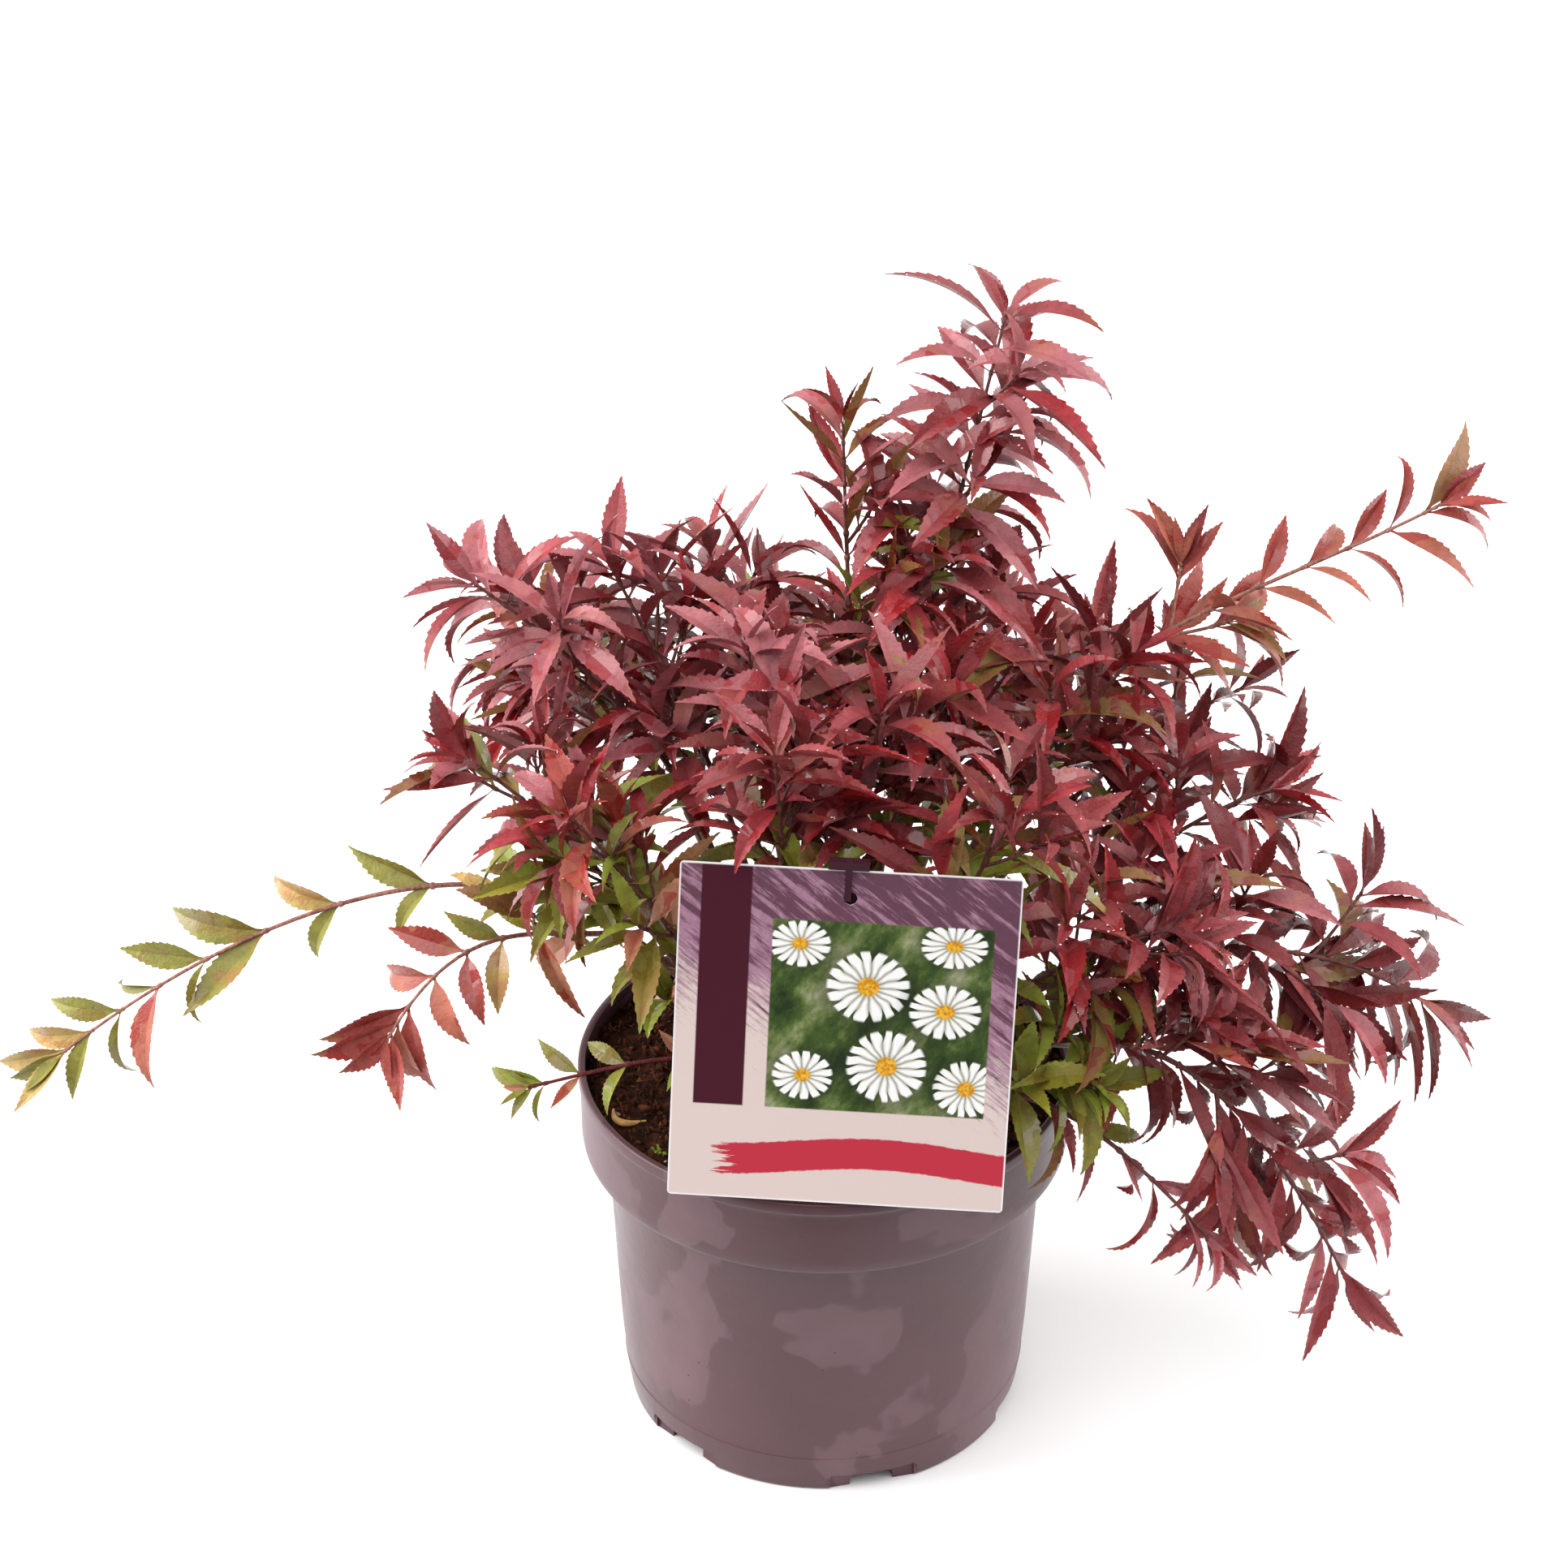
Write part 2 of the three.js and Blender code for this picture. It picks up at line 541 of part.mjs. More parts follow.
function leafSolid(leaf, change) {
  const points = leafPoints(leaf, change);
  const blade = new THREE.OctahedronGeometry(1, 0);
  const position = blade.getAttribute("position");
  const corner = new THREE.Vector3();
  for (let i = 0; i < position.count; i++) {
    corner.fromBufferAttribute(position, i);
    let place = corner.x > 0 ? points.tip : points.base;
    if (Math.abs(corner.y) > 0.5) place = corner.y > 0 ? points.over : points.under;
    if (Math.abs(corner.z) > 0.5) place = corner.z > 0 ? points.left : points.right;
    position.setXYZ(i, place.x, place.y, place.z);
  }
  return solid(blade);
}

// The leaves of one twig, in pairs from its tip back to the share `firstShare` of its length.
function leavesAlong(curve, mass, firstShare) {
  const { random } = mass;
  const length = curve.getLength();
  const phase = 360 * random();
  const pairs = TIP_PAIRS.filter((pair) => pair.back < length * (1 - firstShare));
  let back = TIP_PAIRS[TIP_PAIRS.length - 1].back + NODE_SPACING;
  for (; back < length * (1 - firstShare); back += NODE_SPACING) pairs.push({ ...STEM_PAIR, back });
  return pairs.flatMap((pair, node) => {
    const along = curve.getUtoTmapping(1 - pair.back / length);
    return [0, 180].map((opposite) => {
      const turn = radians(phase + node * 90 + opposite + 24 * (random() - 0.5));
      const angle = radians(pair.angle + 14 * (random() - 0.5));
      const { tangent, side, top } = frameAt(curve, along);
      const outward = side.multiplyScalar(Math.cos(turn)).addScaledVector(top, Math.sin(turn));
      const heading = tangent.clone().multiplyScalar(Math.cos(angle));
      heading.addScaledVector(outward, Math.sin(angle)).normalize();
      const face = tangent.multiplyScalar(Math.sin(angle)).addScaledVector(outward, -Math.cos(angle));
      face.addScaledVector(UP, LEAF_TURN_UP);
      face.addScaledVector(heading, -face.dot(heading)).normalize();
      const size = pair.size * (0.88 + 0.24 * random());
      return { base: curve.getPoint(along), heading, face, length: mass.leaf * size };
    });
  });
}

// Where a leaf of one of LEAF_SIZES keeps clear of everything, it is set and joined to its mass.
function setLeaf(mass, leaf) {
  for (const size of LEAF_SIZES) {
    const sized = { ...leaf, length: leaf.length * size };
    const points = Object.values(leafPoints(sized));
    if (points.slice(1).some(kept)) continue;
    const box = new THREE.Box3().setFromPoints(points).expandByScalar(GROWN);
    const blade = leafSolid(sized, { sink: -BLADE_START });
    if (meets(mass.name, box, leafSolid(sized, { grown: GROWN }), blade)) continue;
    const made = leafSolid(sized);
    const joined = mass.solid.add(made);
    if (!sturdy(joined)) continue;
    mass.solid = joined;
    standing.push({ owner: mass.name, solid: made, blade, box });
    return;
  }
}

// A twig of a mass is kept where a thicker one would meet nothing.
function setTwig(mass, curve) {
  const blocked = [0.4, 0.7, 1].some((along) => kept(curve.getPoint(along)));
  const sized = (extra) => (along) => TWIG_RADIUS + (TWIG_END_RADIUS - TWIG_RADIUS) * along + extra;
  const thick = limb(curve, sized(TWIG_CLEARANCE), TWIG_SIDES, 2);
  if (blocked || meets(mass.name, thick.box, thick.solid)) return;
  const made = limb(curve, sized(0), TWIG_SIDES, 2);
  mass.solid = mass.solid.add(made.solid);
  mass.limbs.push({ curve, first: 0.3 });
  standing.push({ owner: mass.name, ...made });
}

for (const cane of canes.values()) {
  const made = limb(cane.curve, cane.radiusAt, CANE_SIDES, CANE_STEPS, SOIL_CROWN + GAP);
  cane.solid = made.solid;
  standing.push({ owner: cane.name, ...made });
}

const masses = MASSES.map((mass, index) => {
  const stem = stemCurve(mass);
  const steps = Math.max(3, Math.min(7, Math.round(stem.getLength() / 22)));
  const level = mass.cane ? undefined : SOIL_CROWN + GAP;
  const radiusAt = (along) => STEM_RADIUS + (TWIG_END_RADIUS - STEM_RADIUS) * along;
  const made = limb(stem, radiusAt, TWIG_SIDES, steps, level);
  standing.push({ owner: mass.name, ...made });
  const limbs = [{ curve: stem, first: 0.08 }];
  return { ...mass, stem, limbs, solid: made.solid, random: seeded(index + 11) };
});
for (const mass of masses) {
  for (let number = 0; number < mass.twigs; number++) setTwig(mass, twigCurve(mass, number, mass.random));
  mass.leaves = mass.limbs.flatMap(({ curve, first }) => leavesAlong(curve, mass, first));
}
// The masses set their leaves in turn, so that they share the space between them.
for (let turn = 0; masses.some((mass) => turn < mass.leaves.length); turn++) {
  for (const mass of masses) if (turn < mass.leaves.length) setLeaf(mass, mass.leaves[turn]);
}

const COLOURS = {
  pot: new THREE.MeshStandardMaterial({ color: 0x6e5560, roughness: 0.35 }),
  compost: new THREE.MeshStandardMaterial({ color: 0x2e1d14, roughness: 0.95 }),
  card: new THREE.MeshStandardMaterial({ color: 0xa9849a, roughness: 0.4 }),
  stake: new THREE.MeshStandardMaterial({ color: 0x4a2530, roughness: 0.4 }),
  bark: new THREE.MeshStandardMaterial({ color: 0x4a2c22, roughness: 0.8 }),
  red: new THREE.MeshStandardMaterial({ color: 0x6d2630, roughness: 0.55 }),
  green: new THREE.MeshStandardMaterial({ color: 0x7c7a2c, roughness: 0.55 }),
};
const GREEN_MASSES = ["left_long", "left_rim", "skirt_left", "skirt_right"];

const plant = new THREE.Group();

function addPart(name, geometry, material, parent = plant) {
  const mesh = new THREE.Mesh(geometry, material);
  mesh.name = name;
  parent.add(mesh);
  return mesh;
}

addPart("pot", potGeometry(), COLOURS.pot);
addPart("compost", soilGeometry(), COLOURS.compost);
addPart("card_stake", stakeGeometry(), COLOURS.stake);
plant.add(cardFrame);
addPart("picture_card", cardGeometry(), COLOURS.card, cardFrame);

for (const cane of canes.values()) addPart(`cane_${cane.name}`, geometryOf(cane.solid), COLOURS.bark);
for (const mass of masses) {
  const colour = GREEN_MASSES.includes(mass.name) ? COLOURS.green : COLOURS.red;
  addPart(`foliage_${mass.name}`, geometryOf(mass.solid), colour);
}

export default plant;
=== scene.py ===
"""A potted slender deutzia in autumn leaf, with its picture card on a stake.

Sizes are in millimetres, as in the solids, and become metres where a mesh is made.
"""

import json
from math import cos, exp, hypot, pi, radians, sin, tan, tau
from types import SimpleNamespace

import bmesh
import bpy
from mathutils import Matrix, Vector

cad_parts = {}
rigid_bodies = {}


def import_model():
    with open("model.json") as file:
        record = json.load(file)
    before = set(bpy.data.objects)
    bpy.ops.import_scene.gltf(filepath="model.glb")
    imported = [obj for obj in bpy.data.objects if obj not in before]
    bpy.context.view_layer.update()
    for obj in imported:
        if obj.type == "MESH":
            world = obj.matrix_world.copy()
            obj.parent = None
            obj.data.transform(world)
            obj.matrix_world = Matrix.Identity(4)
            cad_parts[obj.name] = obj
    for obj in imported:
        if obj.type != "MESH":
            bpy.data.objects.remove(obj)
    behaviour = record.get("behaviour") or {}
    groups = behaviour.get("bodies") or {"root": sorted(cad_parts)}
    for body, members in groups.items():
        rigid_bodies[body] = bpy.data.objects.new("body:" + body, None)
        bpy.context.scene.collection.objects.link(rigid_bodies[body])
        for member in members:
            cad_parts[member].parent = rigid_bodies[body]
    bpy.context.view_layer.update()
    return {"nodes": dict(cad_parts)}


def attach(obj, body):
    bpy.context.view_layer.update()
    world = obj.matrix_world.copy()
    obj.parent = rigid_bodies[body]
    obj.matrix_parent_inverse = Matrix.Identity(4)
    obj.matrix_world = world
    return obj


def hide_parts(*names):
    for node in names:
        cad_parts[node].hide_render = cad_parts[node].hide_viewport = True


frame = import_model()

MM = 0.001
BODY = "root"
UP = Vector((0, 0, 1))
FRONT = Vector((0, -1, 0))
X_AXIS = Vector((1, 0, 0))

# The camera and the point that it looks at.
IMAGE_SIZE = 1932
FOCAL_PIXELS = 5015
SENSOR = 36
CAMERA_TARGET = Vector((-15.8, 0, 272))
CAMERA_DISTANCE = 1500
CAMERA_ELEVATION = radians(31)

# The studio in metres, and each light's place, size and watts. The pot's collar mirrors what is
# past the floor's front edge.
FLOOR_AHEAD = 0.26
FLOOR_REACH = 16
WORLD_LIGHT = 0.98
CAMERA_SIDE_LIGHT = 0.27
LIGHTS_AIM = Vector((0, 0, 0.2))
LIGHTS = dict(
    left_light=((-1.5, 0.1, 0.9), (1.3, 1.6), 37),
    right_light=((1.5, 0.1, 0.9), (1.3, 1.6), 25),
    top_light=((-0.4, -1.1, 2.1), (2.4, 1.6), 32),
)

# The pot.
POT_HEIGHT = 150
RIM_RADIUS = 95
LIP_WIDTH = 3
COLLAR_FOOT = 117
COLLAR_FOOT_RADIUS = 94
BODY_TOP_RADIUS = 84.5
BODY_FOOT_RADIUS = 77.5
FOOT_BAND_HEIGHT = 17
FOOT_BAND_RADIUS = 79.3
FOOT_RING_RADIUS = 64.5
DIMPLE_RADIUS = 20
WALL = 1.6
FLOOR_LIFT = 6
POT_SIDES = 160
SHARP_ANGLE = radians(42)
# Its drain notches: each one's depth, width and height, and how far outside the foot's edge it is.
DRAIN_COUNT = 6
DRAIN_FIRST_ANGLE = -76
DRAIN_CUTS = [((10, 36, 7.5), 1.6), ((40, 17, 5), -9)]
DRAIN_BEVEL = 1.2

# The compost.
SOIL_CROWN = 143
SOIL_EDGE = 141.5
SOIL_CROWN_RADIUS = 46
SOIL_SKIN_DEPTH = 6
SOIL_RADIUS = COLLAR_FOOT_RADIUS - WALL
SOIL_RINGS = 30
SOIL_SPOKES = 120
CRUMB_SIZE = 3.6
FIBRE_LENGTH = 9
FIBRE_RADIUS = 0.28
FIBRE_STEPS = 5
# What is strewn over it: how many to a square metre, the smallest for the largest, and its tones.
STREWN = {
    "compost_crumbs": (62000, 0.3, (0.008, 0.004, 0.003), (0.085, 0.024, 0.0095)),
    "compost_bark_bits": (12000, 0.3, (0.07, 0.022, 0.009), (0.2, 0.064, 0.025)),
    "compost_fibres": (46000, 0.3, (0.07, 0.022, 0.008), (0.25, 0.074, 0.026)),
    "compost_grit": (900, 0.4, (0.24, 0.15, 0.13), (0.5, 0.38, 0.35)),
}
CURL_PATH = ((-80.5, -25.5, 143.4), (-81, -40, 144.4), (-68, -32.5, 143))
CURL_RADIUS = 1.45
MOSS_AT = Vector((-62.3, -51.5, 141))
MOSS_HEIGHT = 3.2
MOSS_SPRIGS = 9

# The picture card and its stake, in the card's own frame: x across, z up and y through it.
CARD_WIDTH = 122
CARD_HEIGHT = 127.5
CARD_FOOT = Vector((2.5, -95.7, 152))
CARD_TURN = (
    Matrix.Rotation(radians(-2.5), 3, "Z")
    @ Matrix.Rotation(radians(-14), 3, "X")
    @ Matrix.Rotation(radians(2), 3, "Y")
)
CARD_BACK = CARD_TURN.transposed()
STAKE_FOOT = Vector((5, -66, 139))
STAKE_HEAD = CARD_FOOT + CARD_TURN @ Vector((-1, 1.9, 129))
STAKE_WAY = (STAKE_HEAD - STAKE_FOOT).normalized()
STAKE_CLEARANCE = 6
# The daisies in the card's picture: place across and up, radius, height for width and rays.
DAISIES = [
    (-17, 99, 11, 0.8, 15), (38, 101, 12, 0.7, 16), (-14, 49, 11, 0.85, 15), (45, 47, 12, 0.9, 17),
    (8, 84, 15, 0.9, 17), (36, 76, 13, 0.8, 16), (16, 54, 14.5, 0.95, 18),
]

# The canes: each one's foot in the compost, its fork, its bow up between them and its radius.
CANES = dict(
    left=((-24, 16), (-82, 31, 190), 5, 3.2),
    left_mid=((-30, -2), (-66, -8, 214), 8, 2.3),
    left_front=((-22, -14), (-46, -30, 208), 6, 2.2),
    left_top=((-17, 24), (-50, 34, 240), 8, 2.4),
    upper_left=((-12, 14), (-34, 22, 236), 6, 2.4),
    upper_mid=((-7, 24), (-20, 46, 234), 6, 2.3),
    centre_star=((-8, 4), (-15, 2, 234), 3, 2.5),
    front_star=((-10, -12), (-14, -28, 220), 4, 2.2),
    centre=((3, -8), (8, -12, 220), 3, 2.4),
    top=((1, 14), (8, 36, 258), 6, 2.7),
    tall=((9, 24), (38, 62, 300), 10, 2.8),
    top_right=((15, 14), (38, 40, 226), 6, 2.3),
    inner_right=((11, 4), (26, 12, 222), 4, 2.2),
    right_long=((24, 18), (78, 50, 258), 16, 3),
    right_upper=((23, 7), (60, 22, 226), 8, 2.4),
    right_back=((28, 28), (78, 56, 210), 8, 2.3),
    right_mid=((33, 8), (84, 10, 204), 8, 2.4),
    front_right=((12, -14), (34, -32, 208), 6, 2.2),
    right_front=((23, -12), (54, -32, 190), 6, 2.4),
    right_low=((34, -5), (92, -16, 198), 12, 2.6),
    droop=((34, -18), (94, -46, 190), 14, 2.4),
    skirt_right=((22, -26), (62, -44, 164), 4, 2.1),
    back_left=((-18, 35), (-54, 76, 214), 8, 2.4),
    back_mid=((0, 36), (-4, 84, 212), 8, 2.4),
    back_right=((16, 38), (48, 86, 208), 8, 2.4),
)
CANE_TIP_RADIUS = 1.5
FLARE = 0.7
FLARE_FALL = 14
BARK_RELIEF = 0.7
TWIG_RELIEF = 0.2
TWIG_BARKS = dict(
    brown=((0.085, 0.025, 0.022), (0.18, 0.06, 0.048), 0.5),
    red=((0.2, 0.07, 0.055), (0.42, 0.2, 0.15), 0.45),
    crimson=((0.11, 0.012, 0.016), (0.2, 0.03, 0.032), 0.4),
)

# How each spray is coloured: leaf tones with their shares, for its tips and for its lower leaves.
WINE = (dict(wine=5, dusky=3, crimson=2), dict(wine=6, dusky=2, bronze=3, olive=1))
# DUSKY goes to the crown's top sprays: their pale dusky leaves partly paint the light and haze there.
DUSKY = (dict(dusky=8, wine=3, crimson=1), dict(dusky=6, wine=3, bronze=1))
CRIMSON = (dict(crimson=4, wine=4, maroon=3), dict(wine=3, maroon=5, bronze=2))
WARM = (dict(crimson=3, brick=4, rust=2, dusky=2), dict(brick=3, wine=3, bronze=2))
HANGING = (dict(wine=5, dusky=3, brick=1, maroon=3), dict(wine=4, maroon=3, bronze=2))
CORAL = (dict(brick=7, rust=3), dict(brick=3, rust=5, coral=1, bronze=2))
RUST = (dict(brick=6, rust=4, wine=1, bronze=1), dict(rust=5, brick=2, bronze=2))
GREEN = (dict(olive=6, lime=2, straw=2, rust=1), dict(olive=6, lime=3, straw=2))
FRESH = (dict(lime=5, olive=3), dict(lime=5, olive=4))
OLIVE = (dict(bronze=3, olive=4, wine=2), dict(olive=6, lime=3, straw=1, bronze=2))
DEEP = (dict(wine=4, dusky=1, maroon=5), dict(maroon=5, wine=4, bronze=1))
MIXED = (dict(wine=5, dusky=3, bronze=2, crimson=2), dict(bronze=3, olive=2, wine=4))

# What a spray is unless its row says otherwise. It grows from its cane's fork, or `beside` its cane
# from this share of it, or from a `foot` in the compost, with `finer` more twigs than the solid has.
# A twig has close pairs of leaves at its tip, as many as `tips`, and then pairs at this `spacing`,
# which may `stretch`. `angle` scales how far the leaves stand off, `front` turns their faces forward,
# and `flat` is the share of them that spread in one plane.
PLAIN_SPRAY = dict(
    beside=1, foot=None, finer=4, bark="brown", tips=4, spacing=13, stretch=1,
    uneven=0.16, broad=1, angle=1, droop=0.1, front=0, flat=0, curled=0,
    withered=0.05,
)


def spray(name, tip, arch, twigs, twig, leaf, tones, **others):
    """A mass of foliage: its stem's tip and arch, how many twigs it has and how long they are, and
    the length and tones of its leaves."""
    row = {"name": name, "cane": name, "tip": Vector(tip), "arch": arch, "twigs": twigs, "twig": twig}
    return SimpleNamespace(**{**PLAIN_SPRAY, **row, "leaf": leaf, "tones": tones, **others})


SPRAYS = [
    spray("left_long", (-291, -8, 157), 45, 0, 0, 44, GREEN, cane="left", bark="red", tips=2, spacing=12,
          stretch=1.2, uneven=0.28, broad=1.25, angle=0.52, droop=0, front=1.2, flat=1, withered=0.14),
    spray("left_low", (-162, -46, 190), 44, 1, 18, 43, CORAL, cane="left", beside=0.93, finer=0, bark="red",
          spacing=15, stretch=1.1, uneven=0.25, broad=1.4, angle=0.85, droop=0.25, front=1, flat=0.7),
    spray("left_rim", (-112, -35, 160), 8, 0, 0, 27, GREEN, foot=(-34, -10), bark="crimson", tips=3,
          spacing=14, stretch=1.3, uneven=0.3, broad=1.3, angle=0.7, droop=0, front=0.8, flat=1),
    spray("left_mid", (-132, -12, 290), 10, 2, 34, 46, WINE),
    spray("left_front", (-92, -50, 288), 6, 2, 32, 47, WARM, droop=0),
    spray("left_top", (-130, 40, 334), 12, 2, 34, 47, DUSKY),
    spray("upper_left", (-80, 50, 336), 6, 2, 34, 52, DUSKY),
    spray("upper_mid", (-44, 74, 330), 6, 1, 30, 48, WINE),
    spray("centre_star", (-29, 0, 330), 2, 2, 34, 54, DUSKY),
    spray("front_star", (-19, -50, 314), 2, 2, 30, 50, WINE),
    spray("centre", (19, -20, 314), 2, 2, 32, 52, WINE),
    spray("top_small", (6, 72, 384), 6, 1, 26, 41, MIXED, cane="top", finer=2, spacing=9, angle=0.7,
          droop=0),
    spray("top_mid", (30, 54, 346), 2, 1, 30, 46, MIXED, cane="top", beside=0.92),
    spray("tall", (66, 86, 422), 2, 1, 26, 54, DUSKY, spacing=9, angle=1.1, front=0.5, curled=0.6),
    spray("top_right", (64, 74, 318), 4, 1, 30, 48, MIXED),
    spray("inner_right", (44, 26, 308), 4, 1, 32, 50, CRIMSON),
    spray("right_long", (228, 60, 357), 4, 1, 30, 40, RUST, finer=1, bark="red", tips=3, spacing=15,
          stretch=1.08, uneven=0.25, broad=1.15, angle=0.56, front=0.9, flat=0.8),
    spray("right_upper", (116, 42, 304), 6, 1, 32, 46, CRIMSON),
    spray("right_back", (162, 82, 266), 12, 1, 34, 42, DEEP, finer=3, curled=0.3),
    spray("right_mid", (168, 20, 258), 12, 2, 34, 48, CRIMSON, front=0.4),
    spray("front_right", (66, -58, 294), 4, 2, 32, 50, CRIMSON),
    spray("right_front", (124, -56, 244), 12, 3, 34, 48, WINE, droop=0.2),
    spray("right_low", (224, -22, 190), 30, 3, 38, 50, DEEP, finer=5, spacing=10, broad=0.96, angle=0.85,
          droop=0.25, front=0.8, flat=0.4),
    spray("droop", (194, -80, 104), 40, 3, 36, 48, HANGING, finer=6, spacing=8, broad=0.94, angle=0.75,
          droop=0.4, front=1, flat=0.4),
    spray("right_rim", (140, -94, 134), 14, 0, 0, 38, MIXED, cane="skirt_right", spacing=16, uneven=0.3,
          angle=0.8, droop=0.6),
    spray("skirt_right", (92, -62, 186), 8, 2, 28, 40, FRESH, beside=0.9, finer=3, tips=3, uneven=0.25,
          broad=1.25, angle=1.1, droop=-0.1),
    spray("skirt_left", (-64, 0, 208), 4, 2, 30, 46, OLIVE, foot=(-42, 8), finer=0, tips=2, spacing=22,
          uneven=0.25, broad=1.5, droop=-0.35),
    spray("back_left", (-122, 122, 262), 14, 2, 38, 50, MIXED, finer=8, droop=0.3),
    spray("back_mid", (-10, 152, 250), 16, 2, 40, 50, WINE, finer=8, droop=0.3),
    spray("back_right", (102, 148, 240), 16, 2, 38, 50, WINE, finer=8, droop=0.3),
]
STEM_RADIUS = 1.25
TWIG_RADIUS = 0.75
TWIG_END_RADIUS = 0.55
NODE_LENGTH = 1.6
NODE_SWELL = 1.5
TWIG_ANGLE = radians(50)
TWIG_RISE = 0.3
FINER_TWIG_LENGTH = 0.8
GOLDEN_ANGLE = 137.5
# The shares of a stem and of a twig that are bare at the foot.
BARE_STEM = 0.02
BARE_TWIG = 0.15

# Pairs of leaves from a twig's tip back: how far back, how far they stand off, and their size.
TIP_PAIRS = [(0.4, 24, 0.6), (2.5, 38, 0.84), (7, 52, 1), (14, 60, 1)]
STEM_PAIR = (62, 0.92)
TURN_SPREAD = 44
ANGLE_SPREAD = 20
LIFE_SIZE = 0.88  # a real leaf's length for a solid one's
LEAF_TURN_UP = 1.1
LEAF_SIZES = (1, 0.78, 0.6)
LEAF_WIDTH = 0.235
BASE_SWELL = 0.85  # how soon the blade widens from its stalk
TIP_TAPER = 1.3
LEAF_STATIONS = 24
LEAF_STALK = 0.08
LEAF_TEETH = 0.12  # the depth of the edge's teeth for the half width
TOOTH_REACH = 0.6  # how far a tooth's point leans towards the tip, in steps
TIP_SHARE = 0.45  # the outer share of a stem that has the tones of the tips
TIP_TONED = 0.35  # the share of the lower leaves that have them too
WITHERED_WIDTH = 0.5
# How each leaf shape curls down along its length, folds along its midrib, and twists, in degrees.
LEAF_SHAPES = [
    (14, 22, 14), (-8, 28, -10), (34, 30, -20), (26, 38, -34), (52, 20, 26), (68, 26, 8), (88, 30, -14),
]
# Low leaves near the middle are shaded and have stayed green.
SHADED_MIDDLE = -16
SHADED_REACH = 106
SHADED_TOP = 280
SHADED_DEPTH = 46
SHADED_SIZE = 0.94
SHADED_TONES = dict(olive=6, lime=5, bronze=2, straw=2, coral=1)

# Leaf tones as red, green and blue reflectance: the leaf's own, and that of its odd patches.
TONES = dict(
    maroon=((0.18, 0.023, 0.026), (0.22, 0.058, 0.03)),
    wine=((0.27, 0.04, 0.044), (0.28, 0.075, 0.042)),
    # dusky: a real mauve tone, set pale partly as painted light, for the light and haze on the crown's top.
    dusky=((0.375, 0.1, 0.11), (0.35, 0.11, 0.08)),
    crimson=((0.33, 0.027, 0.033), (0.24, 0.04, 0.045)),
    brick=((0.35, 0.058, 0.044), (0.3, 0.13, 0.045)),
    rust=((0.38, 0.1, 0.062), (0.36, 0.045, 0.045)),
    coral=((0.42, 0.16, 0.088), (0.4, 0.07, 0.055)),
    bronze=((0.25, 0.1, 0.034), (0.22, 0.17, 0.035)),
    olive=((0.24, 0.2, 0.035), (0.32, 0.13, 0.045)),
    lime=((0.3, 0.3, 0.04), (0.35, 0.23, 0.05)),
    straw=((0.46, 0.28, 0.09), (0.42, 0.14, 0.07)),
)
GREEN_TONES = ("olive", "lime", "straw")
# How a leaf's tone changes where it is dry and where it is wet, and how much of it is wet.
DRY_GAINS = (1.02, 1.14, 1.16)
WET_GAINS = (0.8, 0.3, 0.32)
WET_GREEN_GAINS = (0.85, 0.72, 0.6)
WET_FROM = 0.555
# Beads of water on some of the red leaves.
WET_TONES = ("wine", "crimson", "maroon", "dusky", "brick")
WET_SHARE = 0.3
DROPS_PER_LEAF = 3
DROP_RADIUS = 0.5
DROP_HEIGHT = 0.6


class Tree:
    """A tree of nodes under construction."""

    kinds = "ShaderNode"

    def __init__(self, tree):
        self.tree = tree

    def feed(self, socket, value):
        value = getattr(value, "socket", value)
        if isinstance(value, bpy.types.NodeSocket):
            self.tree.links.new(value, socket)
        else:
            socket.default_value = (*value, 1) if socket.type == "RGBA" else value

    def node(self, kind, *values, output=None, **named):
        """A new node's output. The values feed its first sockets. Of the named ones, those with a
        capital letter feed the socket of that name, and the others are settings."""
        made = self.tree.nodes.new(kind if "Node" in kind else self.kinds + kind)
        for key, value in named.items():
            if key[0].isupper():
                self.feed(made.inputs[key.replace("_", " ")], value)
            else:
                setattr(made, key, value)
        for socket, value in zip([socket for socket in made.inputs if socket.enabled], values):
            self.feed(socket, value)
        enabled = [socket for socket in made.outputs if socket.enabled]
        return Value(self, made.outputs[output] if output else enabled[0])


def maths(operation):
    """A method that puts a value through a Math node."""
    return lambda value, *others: value.tree.node("ShaderNodeMath", value, *others, operation=operation)


class Value:
    """A node's output, which Python's operators put through Math nodes."""

    def __init__(self, tree, socket):
        self.tree = tree
        self.socket = socket

    __add__ = __radd__ = maths("ADD")
    __sub__ = maths("SUBTRACT")
    __mul__ = maths("MULTIPLY")
    __truediv__ = maths("DIVIDE")
    __lt__ = maths("LESS_THAN")
    least = maths("MINIMUM")
    size = maths("ABSOLUTE")
    root = maths("SQRT")
    sine = maths("SINE")
    cosine = maths("COSINE")
    angle = maths("ARCTAN2")

    def __rsub__(self, other):
        return self.tree.node("ShaderNodeMath", other, self, operation="SUBTRACT")

    def ramp(self, low, high):
        """0 below `low` and 1 above `high`, evenly between them."""
        return self.tree.node("MapRange", self, low, high)

    def split(self):
        """The X, Y and Z of a vector."""
        parts = self.tree.node("SeparateXYZ", self).socket.node.outputs
        return [Value(self.tree, part) for part in parts]


